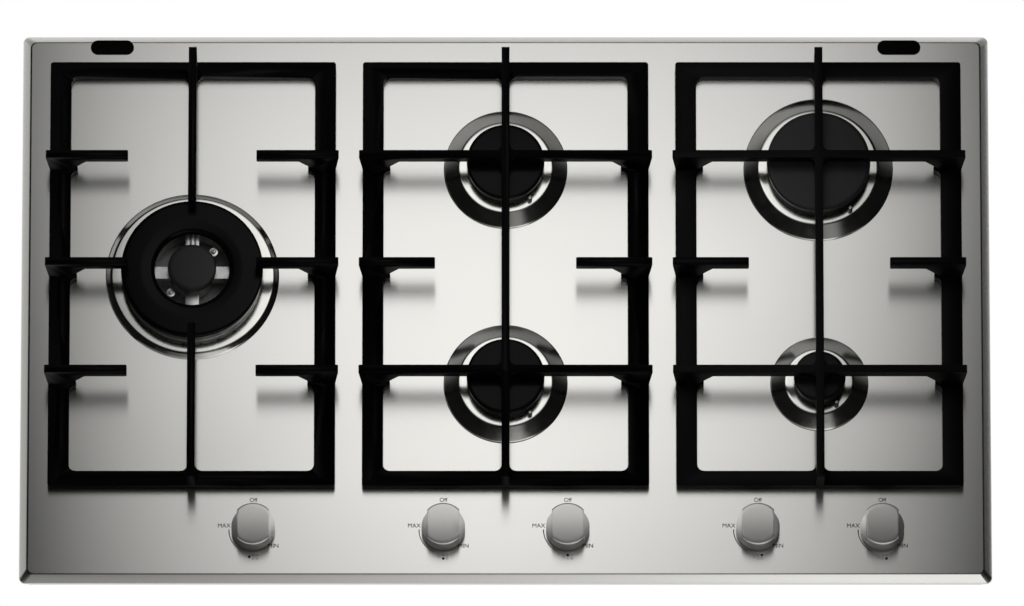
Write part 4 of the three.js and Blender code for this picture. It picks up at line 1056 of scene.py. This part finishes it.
DOTS = {"left": (-3.4, 0), "rear_centre": (0, 1.6), "front_centre": (0, -1.6),
        "rear_right": (3.4, 1.6), "front_right": (3.4, -1.6)}
DOTS_Y = -24.5  # from the knob's axis
for burner in BURNERS:
    x, y = centre_of(f"knob_{burner}")
    marks = [mark_text("Off", x, y + 28, 5.2), mark_text("MAX", x - 25.8, y + 4.2, 5.4),
             mark_text("MIN", x + 17.8, y - 14.4, 5.4),
             thinning_arc(x, y, 21.4, 178, 246, 0.9, 0.4)]
    for name, (dx, dy) in DOTS.items():
        place = (x + dx, y + DOTS_Y + dy)
        marks.append(disc(*place, 1.2) if name == burner else hoop(*place, 1.0, 0.2))
    make_active(marks[0])
    for mark in marks:
        mark.select_set(True)
    bpy.ops.object.join()
    finish_piece(bpy.context.object, f"printed_scale_{burner}", "hob", INK,
                 merge=0.0001)
print("scales:", len(BURNERS))

# %% [markdown]
# ## The hidden half
#
# Below the plate the nodes keep their own meshes, and get the finish of their material.

# %% Finishes of the hidden pieces
def dress(node, material):
    piece = frame["nodes"][node]
    piece.data.materials.clear()
    piece.data.materials.append(material)


dress("worktop_seal", FOAM)
dress("burner_tray", GALVANISED)
dress("gas_manifold", GALVANISED)
dress("gas_inlet_pipe", GALVANISED)
for node in ("spark_switch_strip", "spark_generator", "terminal_box"):
    dress(node, PLASTIC)
for burner in BURNERS:
    dress(f"burner_cup_{burner}", BLASTED)
    dress(f"spindle_{burner}", BRASS)
    dress(f"valve_body_{burner}", BRASS)
    dress(f"feed_pipe_{burner}", TUBE)

# %% [markdown]
# ## Floor, light and background
#
# The photograph is lit by one broad light box above, in an otherwise dim room, and cut out on
# white. The plate mirrors the box, so it is bright in the middle and falls off to both sides. The
# floor is white to the camera and in the steel's reflections, and plain matt paper to all other
# light.

# %% Floor
scene = bpy.context.scene
scene.view_settings.view_transform = "Standard"
FLOOR_HALF = 9000
FLOOR_DROP = 0.2  # keeps the floor apart from the tray's underside
deselect_all()
bpy.ops.mesh.primitive_plane_add(size=2 * FLOOR_HALF * MM, location=(0, 0, -FLOOR_DROP * MM))
floor = bpy.context.object
floor.name = "floor"
floor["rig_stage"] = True
floor_material = bpy.data.materials.new("white studio paper")
floor_material.use_nodes = True
tree = floor_material.node_tree
paper = tree.nodes["Principled BSDF"]
paper.inputs["Base Color"].default_value = linear("#f4f4f4")
paper.inputs["Roughness"].default_value = 0.9
glow = add_node(tree, "ShaderNodeEmission", {"Color": (1, 1, 1, 1), "Strength": 1.0})
path = add_node(tree, "ShaderNodeLightPath")
share = add_node(tree, "ShaderNodeMath",
                 {0: path.outputs["Is Camera Ray"], 1: path.outputs["Is Glossy Ray"]},
                 operation="MAXIMUM")
blended = add_node(tree, "ShaderNodeMixShader",
                   {0: share.outputs[0], 1: paper.outputs[0], 2: glow.outputs[0]})
tree.links.new(blended.outputs[0], tree.nodes["Material Output"].inputs["Surface"])
floor.data.materials.append(floor_material)

# %% [markdown]
# The room is nearly dark, and four parts of it are brighter: low in front of the cooktop, low
# behind it, low on the left, and a narrow window higher up in front. The rim, the caps' shoulders
# and the flanks of the rings show where they face. The world's strength is the sum of these bands,
# and each band is a product of soft steps of direction: x to the right, y to the rear, z up.

# %% World
world = bpy.data.worlds.new("studio")
scene.world = world
world.use_nodes = True
tree = world.node_tree
background = tree.nodes["Background"]
background.inputs["Color"].default_value = (1, 1, 1, 1)
path = add_node(tree, "ShaderNodeLightPath")
direction = add_node(tree, "ShaderNodeSeparateXYZ",
                     {"Vector": add_node(tree, "ShaderNodeTexCoord").outputs["Generated"]}).outputs


def soft_band(tree, place, *steps):
    """A product of soft steps, each (axis, start, end, value before it, value after it)."""
    band = None
    for axis, start, end, before, after in steps:
        inputs = {"Value": place[axis], "From Min": start, "From Max": end,
                  "To Min": before, "To Max": after}
        step = add_node(tree, "ShaderNodeMapRange", inputs, interpolation_type="SMOOTHSTEP")
        value = step.outputs["Result"]
        if band:
            product = add_node(tree, "ShaderNodeMath", {0: band, 1: value}, operation="MULTIPLY")
            value = product.outputs[0]
        band = value
    return band


ROOM = 0.006
room = ROOM
for band in (soft_band(tree, direction, ("Y", -0.8, -0.45, 1, 0), ("Z", 0.5, 0.62, 0.2, 0)),
             soft_band(tree, direction, ("Y", 0.2, 0.5, 0, 1), ("Z", 0.4, 0.55, 1, 0),
                       ("X", -0.5, 0.5, 0.36, 0.22)),
             soft_band(tree, direction, ("X", -0.9, -0.6, 0.4, 0), ("Z", 0.2, 0.35, 1, 0)),
             soft_band(tree, direction, ("X", 0, 0.12, 0, 1), ("X", 0.24, 0.36, 1, 0),
                       ("Y", -0.5, -0.4, 0.3, 0), ("Z", 0.6, 0.68, 0, 1))):
    room = add_node(tree, "ShaderNodeMath", {0: room, 1: band}, operation="ADD").outputs[0]
seen = add_node(tree, "ShaderNodeMix", data_type="FLOAT")
tree.links.new(path.outputs["Is Camera Ray"], seen.inputs[0])
tree.links.new(room, seen.inputs[2])
seen.inputs[3].default_value = 1.0
tree.links.new(seen.outputs[0], background.inputs["Strength"])

# %% [markdown]
# The light box hangs a metre above the plate and lies flat, a little to the rear, where the plate
# mirrors it. Its cloth is brightest along the middle and falls off to both sides, and the plate
# shows exactly that. A leaning card stands near in front, brighter at its right end, for the
# sloping front rim: the camera is far off, so only a lamp that is near can change along the rim.

# %% Lamps
BOX_HEIGHT = 1060  # mm
BOX_WIDTH, BOX_DEPTH = 1000, 1400
BOX_Y = 450
BOX_STRENGTH = 1.6
CLOTH_HALF = 0.412  # metres from its middle to where the cloth has lost its full share
CARD_WIDTH, CARD_HEIGHT = 1500, 900
CARD_PLACE = (0, -1200, 640)
CARD_LEAN = math.radians(63)


def light_box(name, centre, size, strength, lean=0.0):
    lamp = bpy.data.lights.new(name, "AREA")
    lamp.shape = "RECTANGLE"
    lamp.size, lamp.size_y = size[0] * MM, size[1] * MM
    lamp.energy = strength * lamp.size * lamp.size_y * math.pi
    lamp.use_nodes = True
    piece = bpy.data.objects.new(name, lamp)
    scene.collection.objects.link(piece)
    piece.location = Vector(centre) * MM
    piece.rotation_euler.x = lean
    piece.visible_camera = False
    return lamp.node_tree


def place_on_cloth(tree):
    return add_node(tree, "ShaderNodeSeparateXYZ",
                    {"Vector": add_node(tree, "ShaderNodeNewGeometry").outputs["Position"]}).outputs


tree = light_box("overhead box", (0, BOX_Y, BOX_HEIGHT), (BOX_WIDTH, BOX_DEPTH), BOX_STRENGTH)
place = place_on_cloth(tree)
# The cloth loses a share that grows with the distance from its middle. Both the power of that
# growth and the share change from front to rear.
off_middle = add_node(tree, "ShaderNodeMath", {0: place["X"]}, operation="ABSOLUTE").outputs[0]
across = add_node(tree, "ShaderNodeMath", {0: off_middle, 1: CLOTH_HALF}, operation="DIVIDE")
power = soft_band(tree, place, ("Y", 0.04, 0.28, 1.2, 2.7))
loss = soft_band(tree, place, ("Y", 0, 0.6, 0.86, 0.54))
fall = add_node(tree, "ShaderNodeMath", {0: across.outputs[0], 1: power}, operation="POWER")
dark = add_node(tree, "ShaderNodeMath", {0: fall.outputs[0], 1: loss}, operation="MULTIPLY")
cloth = add_node(tree, "ShaderNodeMath", {0: 1.0, 1: dark.outputs[0]}, operation="SUBTRACT")
bright = add_node(tree, "ShaderNodeMath", {0: cloth.outputs[0], 1: 0.0}, operation="MAXIMUM")
ends = soft_band(tree, place, ("Y", -0.1, 0.05, 0.3, 0.96), ("Y", 0.5, 0.68, 1, 0.3))
shown = add_node(tree, "ShaderNodeMath", {0: bright.outputs[0], 1: ends}, operation="MULTIPLY")
tree.links.new(shown.outputs[0], tree.nodes["Emission"].inputs["Strength"])

tree = light_box("front card", CARD_PLACE, (CARD_WIDTH, CARD_HEIGHT), 1.0, CARD_LEAN)
place = place_on_cloth(tree)
tree.links.new(soft_band(tree, place, ("X", -0.6, 0.6, 0.12, 1.15)),
               tree.nodes["Emission"].inputs["Strength"])

# %% Sizes
low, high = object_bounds()
print("visual box:", [round(v, 4) for v in (*low, *high)])
